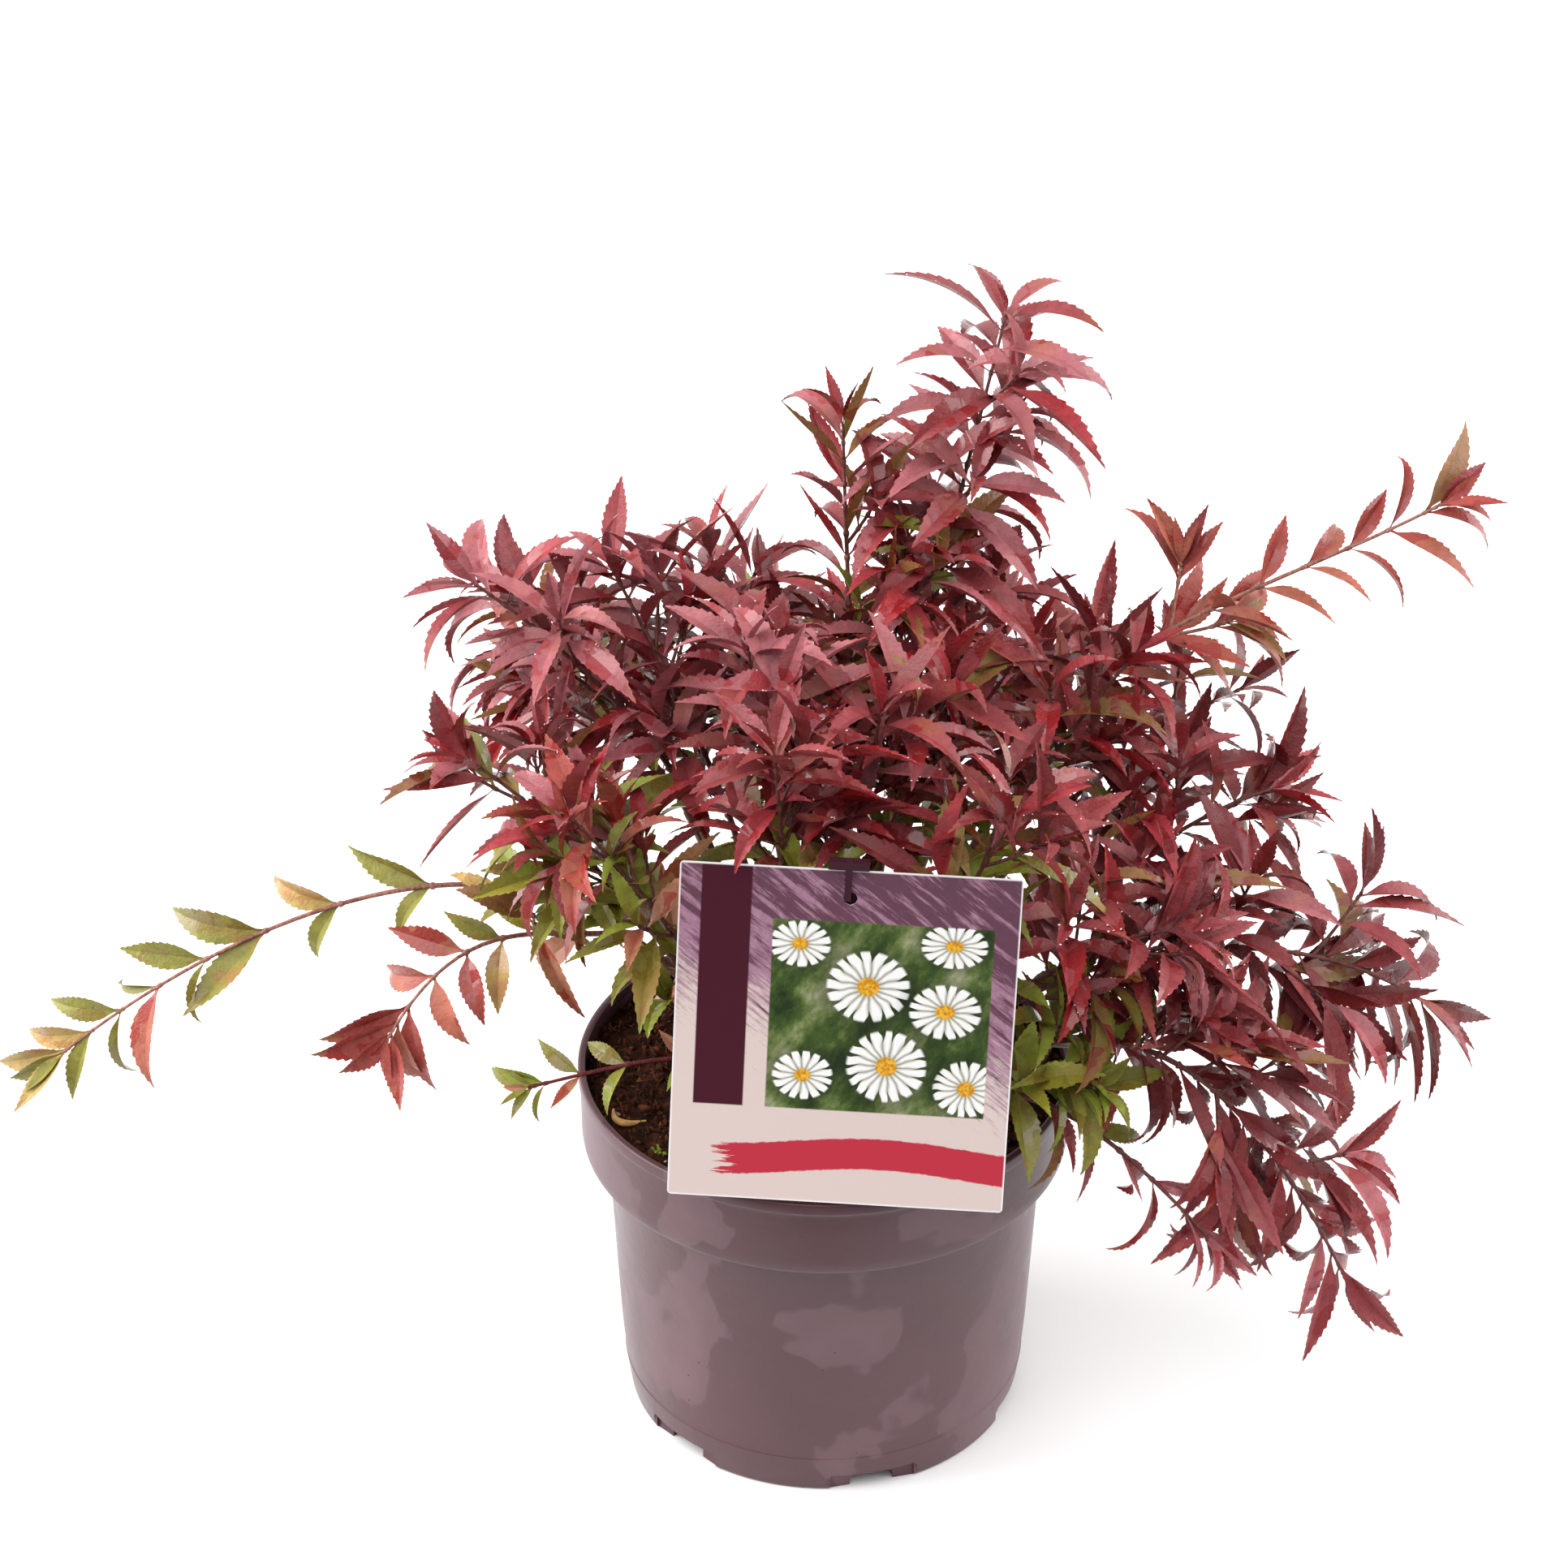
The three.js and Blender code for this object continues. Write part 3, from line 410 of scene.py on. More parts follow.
class Finish(Tree):
    """A material under construction."""

    def __init__(self, name):
        self.material = bpy.data.materials.new(name)
        self.material.use_nodes = True
        super().__init__(self.material.node_tree)
        self.where = self.node("TexCoord", output="Object")

    def scaled(self, *scale, **named):
        """The coordinates with each axis times its scale."""
        return self.node("Mapping", self.where, Scale=scale, **named)

    def noise(self, scale, detail=3, roughness=0.55, distortion=0, where=None):
        named = {"Scale": scale, "Detail": detail, "Roughness": roughness, "Distortion": distortion}
        return self.node("TexNoise", where or self.where, **named)

    def coats(self, colour, *others):
        """A colour under coats of others, each with its mask."""
        for mask, coat in others:
            colour = self.node("Mix", mask, colour, coat, data_type="RGBA")
        return colour

    def graded(self, value, *stops):
        """The colour for a value on a ramp of stops, each a place and a colour."""
        made = self.node("ValToRGB", value)
        elements = made.socket.node.color_ramp.elements
        while len(elements) < len(stops):
            elements.new(1)
        for element, (place, colour) in zip(elements, stops):
            element.position = place
            element.color = (*colour, 1)
        return made

    def done(self, colour, roughness, specular, relief=None, depth=0, **coat):
        """The material, with bumps of `depth` metres where it has a relief."""
        surface = self.tree.nodes["Principled BSDF"].inputs
        named = {"Base Color": colour, "Roughness": roughness, "Specular IOR Level": specular, **coat}
        if relief:
            named["Normal"] = self.node("Bump", Height=relief, Distance=depth)
        for key, value in named.items():
            self.feed(surface[key.replace("_", " ")], value)
        return self.material


def pot_finish():
    """Satin mauve plastic with the pale, sharp-edged marks that dried water leaves."""
    made = Finish("pot_plastic")
    stains = made.noise(24, 3.2, 0.52, 0.3, made.scaled(1, 1, 0.8))
    marks = stains.ramp(0.545, 0.57) * 0.65 + stains.ramp(0.6, 0.74) * 0.35
    edges = stains.ramp(0.535, 0.55) - stains.ramp(0.555, 0.575)
    cloud = made.noise(9, 2, 0.5).ramp(0.3, 0.7)
    specks = (made.node("TexVoronoi", made.where, Scale=170) < 0.09) * made.noise(24, 2).ramp(0.58, 0.66)
    tone = made.coats(
        (0.073, 0.028, 0.035), (cloud, (0.092, 0.039, 0.047)), (marks * 0.6, (0.18, 0.105, 0.12)),
        (edges * 0.15, (0.09, 0.045, 0.055)), (specks * 0.8, (0.03, 0.014, 0.012)),
    )
    rough = 0.3 + marks * 0.14 + cloud * 0.06
    uneven = made.noise(60) + made.noise(900, 2) * 0.06
    return made.done(tone, rough, 0.3, uneven, 0.00035, Coat_Weight=0.2, Coat_Roughness=0.2)


def compost_finish():
    """Damp peat: nearly black, with rust brown crumbs."""
    made = Finish("compost")
    tone = made.graded(
        made.noise(210, 5, 0.65),
        (0.3, (0.007, 0.003, 0.002)),
        (0.5, (0.026, 0.0078, 0.0034)),
        (0.62, (0.075, 0.022, 0.0085)),
        (0.75, (0.16, 0.05, 0.019)),
    )
    rough = 0.6 + made.noise(90, 2).ramp(0.35, 0.65) * 0.35
    return made.done(tone, rough, 0.1, made.noise(500, 6, 0.7), 0.0012)


def grain_finish(name, dark, light, roughness, scale=260):
    """Bits of bark, fibre, moss and dead leaf in the compost."""
    made = Finish(name)
    tone = made.coats(dark, (made.noise(scale, 4).ramp(0.35, 0.65), light))
    return made.done(tone, roughness, 0.15, made.noise(scale * 3), 0.0004)


def bark_finish(name, dark, light, roughness):
    """Thin bark, streaked along the cane, with darker scars."""
    made = Finish(name)
    streaks = made.noise(900, 4, 0.6, where=made.scaled(1, 1, 0.16))
    blotches = made.noise(110)
    scars = (blotches.ramp(0.56, 0.68) * 0.6, [c * 0.45 for c in dark])
    tone = made.coats(dark, (streaks.ramp(0.35, 0.65), light), scars)
    return made.done(tone, roughness, 0.3, streaks + blotches * 0.5, 0.0005)


def leaf_finish(name, colour, patch):
    """A dusty, mottled leaf with patches of a second tone and sharp-edged wet ones."""
    made = Finish(f"leaf_{name}")
    mottle = made.noise(320, 4, 0.6)
    cloud = made.noise(90, 2)
    wet = made.noise(72, 2, 0.45, where=made.scaled(1, 1, 1.2)).ramp(WET_FROM, WET_FROM + 0.014)
    gains = WET_GREEN_GAINS if name in GREEN_TONES else WET_GAINS
    dry = [c * gain for c, gain in zip(colour, DRY_GAINS)]
    tone = made.coats(
        [c * 0.76 for c in dry],
        (mottle.ramp(0.36, 0.64), dry),
        (cloud.ramp(0.5, 0.72) * 0.8, [c * 1.2 + 0.01 for c in dry]),
        (made.noise(50, 2.5).ramp(0.56, 0.68) * 0.75, patch),
        (wet * 0.85, [c * gain for c, gain in zip(colour, gains)]),
    )
    rough = 0.32 + cloud.ramp(0.4, 0.6) * 0.16 - wet * 0.16
    relief = made.noise(700, 3, 0.6) + mottle * 0.6
    return made.done(tone, rough, 0.24, relief, 0.00045, Coat_Weight=wet * 0.5 + 0.14, Coat_Roughness=0.07)


def water_painted_glint_finish():
    """Water drops, whose pale colour is a painted glint: the light shining through them from behind."""
    return Finish("water").done((0.8, 0.6, 0.6), 0.04, 0.9, Coat_Weight=1, Coat_Roughness=0.02)


def card_finish():
    """The printed card: a brushed purple ground, a picture of daisies, a plum column and a
    crimson ribbon, all drawn in the card's own millimetres."""
    made = Finish("printed_card")

    def placed(*size, **named):
        """The coordinates in a frame of this size, turn and place."""
        return made.scaled(*size, vector_type="TEXTURE", **named)

    made.where = placed(MM, MM, MM, Location=CARD_FOOT * MM, Rotation=CARD_TURN.to_euler("XYZ"))
    across, through, height = made.where.split()

    def between(value, low, high, soft=0.25):
        return value.ramp(low - soft, low + soft) * (1 - value.ramp(high - soft, high + soft))

    def strokes(length, thickness, tilt=0):
        """Noise drawn out into strokes of this length and thickness, about 0 in the middle."""
        where = placed(length, length, thickness, Rotation=(0, radians(-tilt), 0))
        return made.noise(1, 5, 0.68, where=where) - 0.5

    # The ground, brushed from purple at the top right to warm white at the foot.
    grain = made.noise(0.35, 6, 0.75)
    fall = (height + across * 0.3 - 58) / 60
    brushed = (fall + strokes(16, 1.3, -38) * 1.7 + (grain - 0.5) * 0.5).ramp(-0.05, 0.3)
    deep = (fall * 0.6 + strokes(26, 3, -38) * 4).ramp(0.2, 0.6)
    mauve = (grain.ramp(0.35, 0.65), (0.37, 0.2, 0.28))
    purple = made.coats((0.27, 0.12, 0.2), mauve, (deep * 0.92, (0.07, 0.013, 0.038)))

    # The picture: daisies, each tipped a little, on soft greens.
    picture = made.graded(
        strokes(30, 18, 60) + 0.5,
        (0.36, (0.016, 0.03, 0.01)),
        (0.48, (0.05, 0.085, 0.02)),
        (0.56, (0.13, 0.17, 0.055)),
        (0.7, (0.38, 0.37, 0.24)),
    )
    for x, z, radius, squash, rays in DAISIES:
        dx, dz = (across - x) / radius, (height - z) / (radius * squash)
        reach = (dx * dx + dz * dz).root()
        ray = ((dz.angle(dx) + made.noise(0.12, 1) * 0.4) * (rays / 2)).cosine().size()
        edge = 0.66 + (ray * 1.6).least(1) * 0.34
        shine = (ray * 0.75 + reach * 0.5).ramp(0.35, 0.95)
        white = made.coats((0.34, 0.34, 0.27), (shine, (0.84, 0.83, 0.82)))
        eye = made.coats((0.5, 0.2, 0.015), (made.noise(0.9, 2).ramp(0.4, 0.6), (0.75, 0.42, 0.04)))
        picture = made.coats(
            picture,
            ((1 - reach.ramp(0.9, 1.45)) * 0.6, (0.014, 0.022, 0.01)),
            (1 - (reach / edge).ramp(0.95, 1.02), white),
            ((1 - reach.ramp(0.2, 0.42)) * 0.5, (0.16, 0.12, 0.03)),
            (1 - reach.ramp(0.25, 0.28), eye),
        )

    # The plum column and the crimson ribbon are left blank.
    column = between(across, -53, -35) * between(height, 36, 127.5)
    level = height - (across * 0.05 + 0.8).sine() * 2.4 + (grain - 0.5) * 1.6
    ribbon = between(level, 11.45, 23.45) * (across + strokes(34, 1.5) * 46).ramp(-42, -41)
    front = made.coats(
        (0.64, 0.52, 0.49),
        (brushed * 0.95, purple),
        (between(across, -27, 52) * between(height, 36, 108), picture),
        (column, (0.055, 0.008, 0.018)),
        (ribbon, (0.46, 0.03, 0.052)),
    )

    # Only the front is printed, up to a thin white edge.
    printed = between(across, -60.5, 60.5) * between(height, 0.5, 127)
    face = made.coats((0.82, 0.8, 0.8), (printed, front))
    tone = made.coats((0.78, 0.74, 0.72), (through < -0.45, face))
    return made.done(tone, 0.4 + grain * 0.1, 0.16, made.noise(2.5), 0.00002)


def stake_finish():
    made = Finish("stake_plastic")
    tone = made.coats((0.035, 0.008, 0.015), (made.noise(120), (0.05, 0.014, 0.024)))
    return made.done(tone, 0.4, 0.25, made.noise(900, 2), 0.0001)


def floor_finish():
    made = Finish("pale_floor")
    return made.done(made.coats((0.86,) * 3, (made.noise(4, 2), (0.88,) * 3)), 0.9, 0.5)


class Chance:
    """A repeatable stream of numbers from 0 to 1, the same as in the solids."""

    def __init__(self, seed):
        self.state = seed

    def __call__(self):
        self.state = (self.state * 1664525 + 1013904223) % 4294967296
        return self.state / 4294967296

    def pick(self, shares):
        """A key of `shares`, as often as its share says."""
        left = self() * sum(shares.values())
        for key, share in shares.items():
            left -= share
            if left <= 0:
                return key
        return key


class Path:
    """A Bezier curve, with its length and its frame at any share of it."""

    STEPS = 40

    def __init__(self, *controls):
        self.controls = [Vector(c) for c in controls]
        points = [self.point(i / self.STEPS) for i in range(self.STEPS + 1)]
        self.lengths = [0.0]
        for before, after in zip(points, points[1:]):
            self.lengths.append(self.lengths[-1] + (after - before).length)
        self.length = self.lengths[-1]

    def point(self, t):
        points = self.controls
        while len(points) > 1:
            points = [a.lerp(b, t) for a, b in zip(points, points[1:])]
        return points[0]

    def share_at(self, distance):
        """The curve's own parameter at a distance along it."""
        for i, length in enumerate(self.lengths[1:], 1):
            if length >= distance:
                before = self.lengths[i - 1]
                return (i - 1 + (distance - before) / (length - before)) / self.STEPS
        return 1.0

    def frame(self, t):
        tangent = (self.point(min(1, t + 1e-3)) - self.point(max(0, t - 1e-3))).normalized()
        reference = X_AXIS if abs(tangent.z) > 0.94 else UP
        side = tangent.cross(reference).normalized()
        return tangent, side, side.cross(tangent)


def lean(one, other, angle):
    """The direction at this angle from one towards another that is square to it."""
    return one * cos(angle) + other * sin(angle)


def cane_path(name):
    foot, fork, bow, _ = CANES[name]
    foot, fork = Vector((*foot, SOIL_CROWN)), Vector(fork)
    return Path(foot, foot.lerp(fork, 0.5) + UP * bow, fork)


def stem_path(spray):
    """A spray's stem grows on from its fork, or beside its cane, or from the compost."""
    tip, share = spray.tip, spray.beside
    if spray.foot:
        start, heading = Vector((*spray.foot, SOIL_CROWN)), UP
    else:
        path = cane_path(spray.cane)
        start, heading = path.point(share), path.frame(share)[0]
    if share < 1:
        leaving = (tip - start).normalized()
        outward = (leaving - heading * leaving.dot(heading)).normalized()
        heading = (heading + outward).normalized()
    onward = start + heading * (tip - start).length * 0.3
    return Path(start, onward, start.lerp(tip, 0.66) + UP * spray.arch, tip)


def twig_path(stem, number, count, length, chance):
    """A side twig, which leaves the stem by the golden angle and rises a little."""
    along = 0.12 + 0.66 * (number + 0.3 + 0.4 * chance()) / count
    turn = radians(GOLDEN_ANGLE * number + 360 * chance())
    length *= 0.85 + 0.3 * chance()
    tangent, side, top = stem.frame(along)
    heading = lean(tangent, lean(side, top, turn), TWIG_ANGLE) + UP * TWIG_RISE
    heading.normalize()
    start = stem.point(along)
    knee = start + heading * length / 2
    return Path(start, knee, knee + (heading + UP * TWIG_RISE).normalized() * length / 2)


def blocked(point):
    """True where no leaf may be: in the pot or compost, on the floor, at the card or its stake."""
    radius = hypot(point.x, point.y)
    at_rim = RIM_RADIUS - 5 < radius < RIM_RADIUS + 1.5 and point.z < POT_HEIGHT + 1.5
    in_pot = radius < RIM_RADIUS and point.z < SOIL_CROWN + 2
    if point.z < 4 or at_rim or in_pot:
        return True
    local = CARD_BACK @ (point - CARD_FOOT)
    if abs(local.x) < CARD_WIDTH / 2 + 2 and -2 < local.z < CARD_HEIGHT + 7 and local.y < 4:
        return True
    aside = (point - STAKE_FOOT) - STAKE_WAY * (point - STAKE_FOOT).dot(STAKE_WAY)
    return aside.length < STAKE_CLEARANCE and point.z < STAKE_HEAD.z + 3


def shaded(point, level):
    """True low in the crown's middle, more often the lower the point is."""
    inner = hypot(point.x - SHADED_MIDDLE, point.y) < SHADED_REACH and point.z > SOIL_CROWN
    return inner and (SHADED_TOP - point.z) / SHADED_DEPTH > level


def pairs_along(path, spray, bare):
    """One twig's pairs of leaves from its tip back to its bare foot: each one's share of the twig,
    how far it stands off, and its size."""
    reach = path.length * (1 - bare)
    tips = TIP_PAIRS[: spray.tips]
    pairs = [pair for pair in tips if pair[0] < reach]
    spacing = spray.spacing
    back = tips[-1][0] + spacing
    while back < reach:
        pairs.append((back, *STEM_PAIR))
        spacing *= spray.stretch
        back += spacing
    return [(path.share_at(path.length - back), angle, size) for back, angle, size in pairs]


def leaves_along(path, spray, chance, bare, outermost):
    """The leaves of one twig, in pairs that stand square to each other."""
    phase = 360 * chance()
    made = []
    for node, (along, standing, share) in enumerate(pairs_along(path, spray, bare)):
        tangent, side, top = path.frame(along)
        for opposite in (0, 180):
            turn = radians(phase + node * 90 + opposite + TURN_SPREAD * (chance() - 0.5))
            angle = radians(standing * spray.angle + ANGLE_SPREAD * (chance() - 0.5))
            outward = lean(side, top, turn)
            if chance() < spray.flat:
                flat = tangent.cross(UP * LEAF_TURN_UP + FRONT * spray.front).normalized()
                outward = (flat * (1 if opposite else -1) + outward * 0.35).normalized()
            heading = lean(tangent, outward, angle) - UP * spray.droop * (0.6 + 0.8 * chance())
            heading.normalize()
            face = tangent * sin(angle) - outward * cos(angle) + UP * LEAF_TURN_UP + FRONT * spray.front
            face = (face - heading * face.dot(heading)).normalized()
            leaf = SimpleNamespace(base=path.point(along), heading=heading, face=face, broad=spray.broad)
            leaf.length = spray.leaf * LIFE_SIZE * share * (1 - spray.uneven + 2 * spray.uneven * chance())
            outer = outermost and along > 1 - TIP_SHARE
            tones = spray.tones[0 if outer or chance() < TIP_TONED else 1]
            if shaded(leaf.base, chance()):
                tones = SHADED_TONES
                leaf.length *= SHADED_SIZE
            leaf.tone = chance.pick(tones)
            leaf.shape = int(chance() ** (1 - spray.curled) * len(LEAF_SHAPES))
            if chance() < spray.withered:
                leaf.broad *= WITHERED_WIDTH
                leaf.shape = len(LEAF_SHAPES) - 1
            made.append(leaf)
    return made


def fits(leaf):
    """True where the leaf's middle, edges and tip are clear."""
    across = leaf.heading.cross(leaf.face)
    half = leaf.length * leaf.broad * LEAF_WIDTH / 2
    for share in (0.35, 0.65, 1.0):
        drop = leaf.face * (-0.16 * leaf.length * share * share)
        middle = leaf.base + leaf.heading * leaf.length * share + drop
        if any(blocked(middle + across * half * side) for side in (-1, 0, 1)):
            return False
    return True


def grow():
    """Every leaf of the shrub, and every twig as its path, its spray, its bare share and radius."""
    leaves, twigs = [], []
    for index, spray in enumerate(SPRAYS):
        chance = Chance(index + 11)
        stem = stem_path(spray)
        twigs.append((stem, spray, BARE_STEM, STEM_RADIUS))
        paths = [twig_path(stem, n, spray.twigs, spray.twig, chance) for n in range(spray.twigs)]
        chance = Chance(index * 7919 + 17)
        finer, length = spray.finer if paths else 0, spray.twig * FINER_TWIG_LENGTH
        paths += [twig_path(stem, n, finer, length, chance) for n in range(finer)]
        made = leaves_along(stem, spray, chance, BARE_STEM, True)
        for path in paths:
            if any(blocked(path.point(t)) for t in (0.4, 0.7, 1.0)):
                continue
            twigs.append((path, spray, BARE_TWIG, TWIG_RADIUS))
            made += leaves_along(path, spray, chance, BARE_TWIG, chance() < 0.6)
        for leaf in made:
            full = leaf.length
            for size in LEAF_SIZES:
                leaf.length = full * size
                if fits(leaf):
                    leaves.append(leaf)
                    break
    return leaves, twigs


def new_mesh(name, verts, faces, edges=()):
    mesh = bpy.data.meshes.new(name)
    mesh.from_pydata(verts, edges, faces)
    return mesh


def mesh_of(name, grid):
    """The mesh of a bmesh, which is then freed."""
    mesh = bpy.data.meshes.new(name)
    grid.to_mesh(mesh)
    grid.free()
    return mesh


def carry(mesh, name, kind, values):
    """Gives each point of a mesh a value to carry."""
    key = "vector" if kind == "FLOAT_VECTOR" else "value"
    mesh.attributes.new(name, kind, "POINT").data.foreach_set(key, values)


def dress(mesh, finish):
    mesh.materials.clear()
    mesh.materials.append(finish)


def new_object(name, mesh):
    made = bpy.data.objects.new(name, mesh)
    bpy.context.scene.collection.objects.link(made)
    return made


def new_piece(name, mesh, nodes=(), finish=None):
    """A smooth piece that rides on the pot and stands for these nodes of the solids."""
    if finish:
        dress(mesh, finish)
    mesh.shade_smooth()
    made = new_object(name, mesh)
    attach(made, BODY)
    if nodes:
        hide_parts(*nodes)


def baked(source):
    """The plain mesh of an object with modifiers, which is then removed."""
    source.update_tag()
    bpy.context.view_layer.update()
    evaluated = source.evaluated_get(bpy.context.evaluated_depsgraph_get())
    mesh = bpy.data.meshes.new_from_object(evaluated)
    bpy.data.objects.remove(source)
    return mesh


def realized(source, tree, name, slot, nodes=(), **inputs):
    """The piece that a Geometry Nodes tree makes of a mesh."""
    carrier = new_object("source", source)
    modifier = carrier.modifiers.new("made", "NODES")
    modifier.node_group = tree
    for item in tree.interface.items_tree:
        if item.name in inputs:
            modifier[item.identifier] = inputs[item.name]
    new_piece(name, baked(carrier), nodes)


class Recipe(Tree):
    """A Geometry Nodes tree with named inputs."""

    kinds = "GeometryNode"

    def __init__(self, name, **inputs):
        super().__init__(bpy.data.node_groups.new(name, "GeometryNodeTree"))
        face = self.tree.interface
        for key, kind in {"Geometry": "Geometry", **inputs, "Material": "Material"}.items():
            face.new_socket(key, in_out="INPUT", socket_type=f"NodeSocket{kind}")
        face.new_socket("Geometry", in_out="OUTPUT", socket_type="NodeSocketGeometry")
        self.given = self.tree.nodes.new("NodeGroupInput").outputs

    def carried(self, name, kind="FLOAT_VECTOR"):
        return self.node("InputNamedAttribute", data_type=kind, Name=name)

    def instanced(self, points, shapes, **sockets):
        """One of the collection's shapes on each point."""
        shapes = self.node("CollectionInfo", shapes, Separate_Children=True, Reset_Children=True)
        return self.finish(self.node("InstanceOnPoints", points, True, shapes, True, **sockets))

    def finish(self, geometry):
        whole = self.node("RealizeInstances", geometry)
        painted = self.node("SetMaterial", whole, Material=self.given["Material"])
        self.feed(self.tree.nodes.new("NodeGroupOutput").inputs[0], painted)
        return self.tree


def limb_recipe():
    """Round limbs along the edges of a mesh, whose points carry their girth, with a knotty bark."""
    made = Recipe("limbs", Sides="Int", Relief="Float")
    girth = made.carried("girth", "FLOAT")
    line = made.node("SetCurveRadius", made.node("MeshToCurve", made.given[0]), Radius=girth)
    ring = made.node("CurvePrimitiveCircle", Resolution=made.given["Sides"], Radius=1)
    tube = made.node("CurveToMesh", line, ring, girth, True)
    height = (made.node("ShaderNodeTexNoise", Scale=170) - 0.5) * made.given["Relief"]
    outward = made.node("ShaderNodeVectorMath", made.node("InputNormal"), operation="SCALE", Scale=height)
    return made.finish(made.node("SetPosition", tube, Offset=outward))


def leaf_recipe():
    """A leaf on each point, of the shape, turn and size that the point carries."""
    made = Recipe("leaves", Blades="Collection")
    named = {"Instance_Index": made.carried("shape", "INT"), "Rotation": made.carried("turn")}
    return made.instanced(*made.given[:2], **named, Scale=made.carried("size"))


def scatter_recipe():
    """Bits strewn over a surface, each turned and sized by chance."""
    made = Recipe("scatter", Bits="Collection", Density="Float", Smallest="Float", Seed="Int")
    surface, bits, density, smallest, seed = made.given[:5]
    points = made.node("DistributePointsOnFaces", surface, Density=density, Seed=seed)
    kind = "FunctionNodeRandomValue"
    turn = made.node(kind, (0, 0, 0), (3, 3, 6.28), data_type="FLOAT_VECTOR", Seed=seed)
    size = made.node(kind, smallest, 1, data_type="FLOAT", Seed=seed)
    return made.instanced(points, bits, Rotation=turn, Scale=size)


def hidden_collection(name, meshes):
    """Shapes to be instanced, kept out of the scene."""
    made = bpy.data.collections.new(name)
    for number, mesh in enumerate(meshes):
        made.objects.link(bpy.data.objects.new(f"{name}_{number}", mesh))
    return made


WIDEST_AT = BASE_SWELL / (BASE_SWELL + TIP_TAPER)
WIDEST = WIDEST_AT**BASE_SWELL * (1 - WIDEST_AT) ** TIP_TAPER


def blade_shape(curl, fold, twist):
    """A lance-shaped leaf of length 1 along X with a toothed edge, a folded midrib and a curl."""
    verts, faces = [], []
    centre, heading = Vector((0, 0, 0)), 0.0
    step = (1 - LEAF_STALK) / (LEAF_STATIONS - 1)
    for station in range(LEAF_STATIONS + 1):
        t = LEAF_STALK + (station - 1) * step if station else 0
        along = max(0, t - LEAF_STALK) / (1 - LEAF_STALK)
        swell = along**BASE_SWELL * max(0, 1 - along) ** TIP_TAPER / WIDEST
        point = station % 2 and 1 < station < LEAF_STATIONS - 2
        tooth = 1 + LEAF_TEETH / 2 if point else 1 - LEAF_TEETH / 2
        half = 0.002 if station == LEAF_STATIONS else max(0.016, LEAF_WIDTH / 2 * swell * tooth)
        turn = radians(twist) * t
        lift = tan(radians(fold)) * half
        for side in (-1, 0, 1):
            y, z = side * half, abs(side) * lift
            y, z = y * cos(turn) - z * sin(turn), y * sin(turn) + z * cos(turn)
            forward = lean(X_AXIS, UP, heading) * (step * TOOTH_REACH if point and side else 0)
            verts.append(centre + forward + Vector((-z * sin(heading), y, z * cos(heading))))
        onward = step if station else LEAF_STALK
        heading -= radians(curl) * onward * (0.5 + t)
        centre += lean(X_AXIS, UP, heading) * onward
        if station < LEAF_STATIONS:
            first = station * 3
            faces += [(a, a + 3, a + 4, a + 1) for a in (first, first + 1)]
    mesh = new_mesh("blade", verts, faces)
    for edge in mesh.edges:
        edge.use_edge_sharp = all(vert % 3 == 1 for vert in edge.vertices)
    return mesh


def make_drops(leaves, blades):
    """Beads of water that cling to the edges of the wet leaves."""
    ball = bmesh.new()
    bmesh.ops.create_icosphere(ball, subdivisions=2, radius=1)
    corners = [corner.co.copy() for corner in ball.verts]
    sides = [[corner.index for corner in side.verts] for side in ball.faces]
    ball.free()
    verts, faces = [], []
    chance = Chance(401)
    for leaf in leaves:
        if leaf.tone not in WET_TONES or chance() > WET_SHARE:
            continue
        x, z = leaf.heading, leaf.face
        y = z.cross(x)
        blade = blades[leaf.shape].vertices
        for _ in range(DROPS_PER_LEAF):
            station = int(LEAF_STATIONS * (0.3 + 0.68 * chance()))
            spot = blade[station * 3 + (0 if chance() < 0.5 else 2)].co
            centre = leaf.base + (x * spot.x + y * spot.y * leaf.broad + z * spot.z) * leaf.length
            radius = DROP_RADIUS * (0.45 + 0.55 * chance())
            faces += [[len(verts) + index for index in side] for side in sides]
            for corner in corners:
                reach = x * corner.x + y * corner.y + z * (corner.z + 0.4) * DROP_HEIGHT
                verts.append((centre + reach * radius) * MM)
    # The drops' pale colour is a painted glint of the light through them.
    new_piece("water_drops", new_mesh("water_drops", verts, faces), finish=water_painted_glint_finish())


def make_leaves(leaves):
    """One piece for each tone, which stands for the masses of foliage."""
    blades = [blade_shape(*shape) for shape in LEAF_SHAPES]
    make_drops(leaves, blades)
    shapes = hidden_collection("blade", blades)
    recipe = leaf_recipe()
    nodes = [f"foliage_{spray.name}" for spray in SPRAYS]
    for tone, colours in TONES.items():
        chosen = [leaf for leaf in leaves if leaf.tone == tone]
        turns, sizes = [], []
        for leaf in chosen:
            x, z = leaf.heading, leaf.face
            turns += Matrix((x, z.cross(x), z)).transposed().to_euler("XYZ")[:]
            sizes += [leaf.length * MM, leaf.length * leaf.broad * MM, leaf.length * MM]
        points = new_mesh("points", [leaf.base * MM for leaf in chosen], [])
        carry(points, "shape", "INT", [leaf.shape for leaf in chosen])
        carry(points, "turn", "FLOAT_VECTOR", turns)
        carry(points, "size", "FLOAT_VECTOR", sizes)
        slot = "green_leaf" if tone in GREEN_TONES else "red_leaf"
        finish = leaf_finish(tone, *colours)
        realized(points, recipe, f"leaves_{tone}", slot, nodes, Blades=shapes, Material=finish)
    bpy.data.batch_remove([*shapes.objects, shapes])


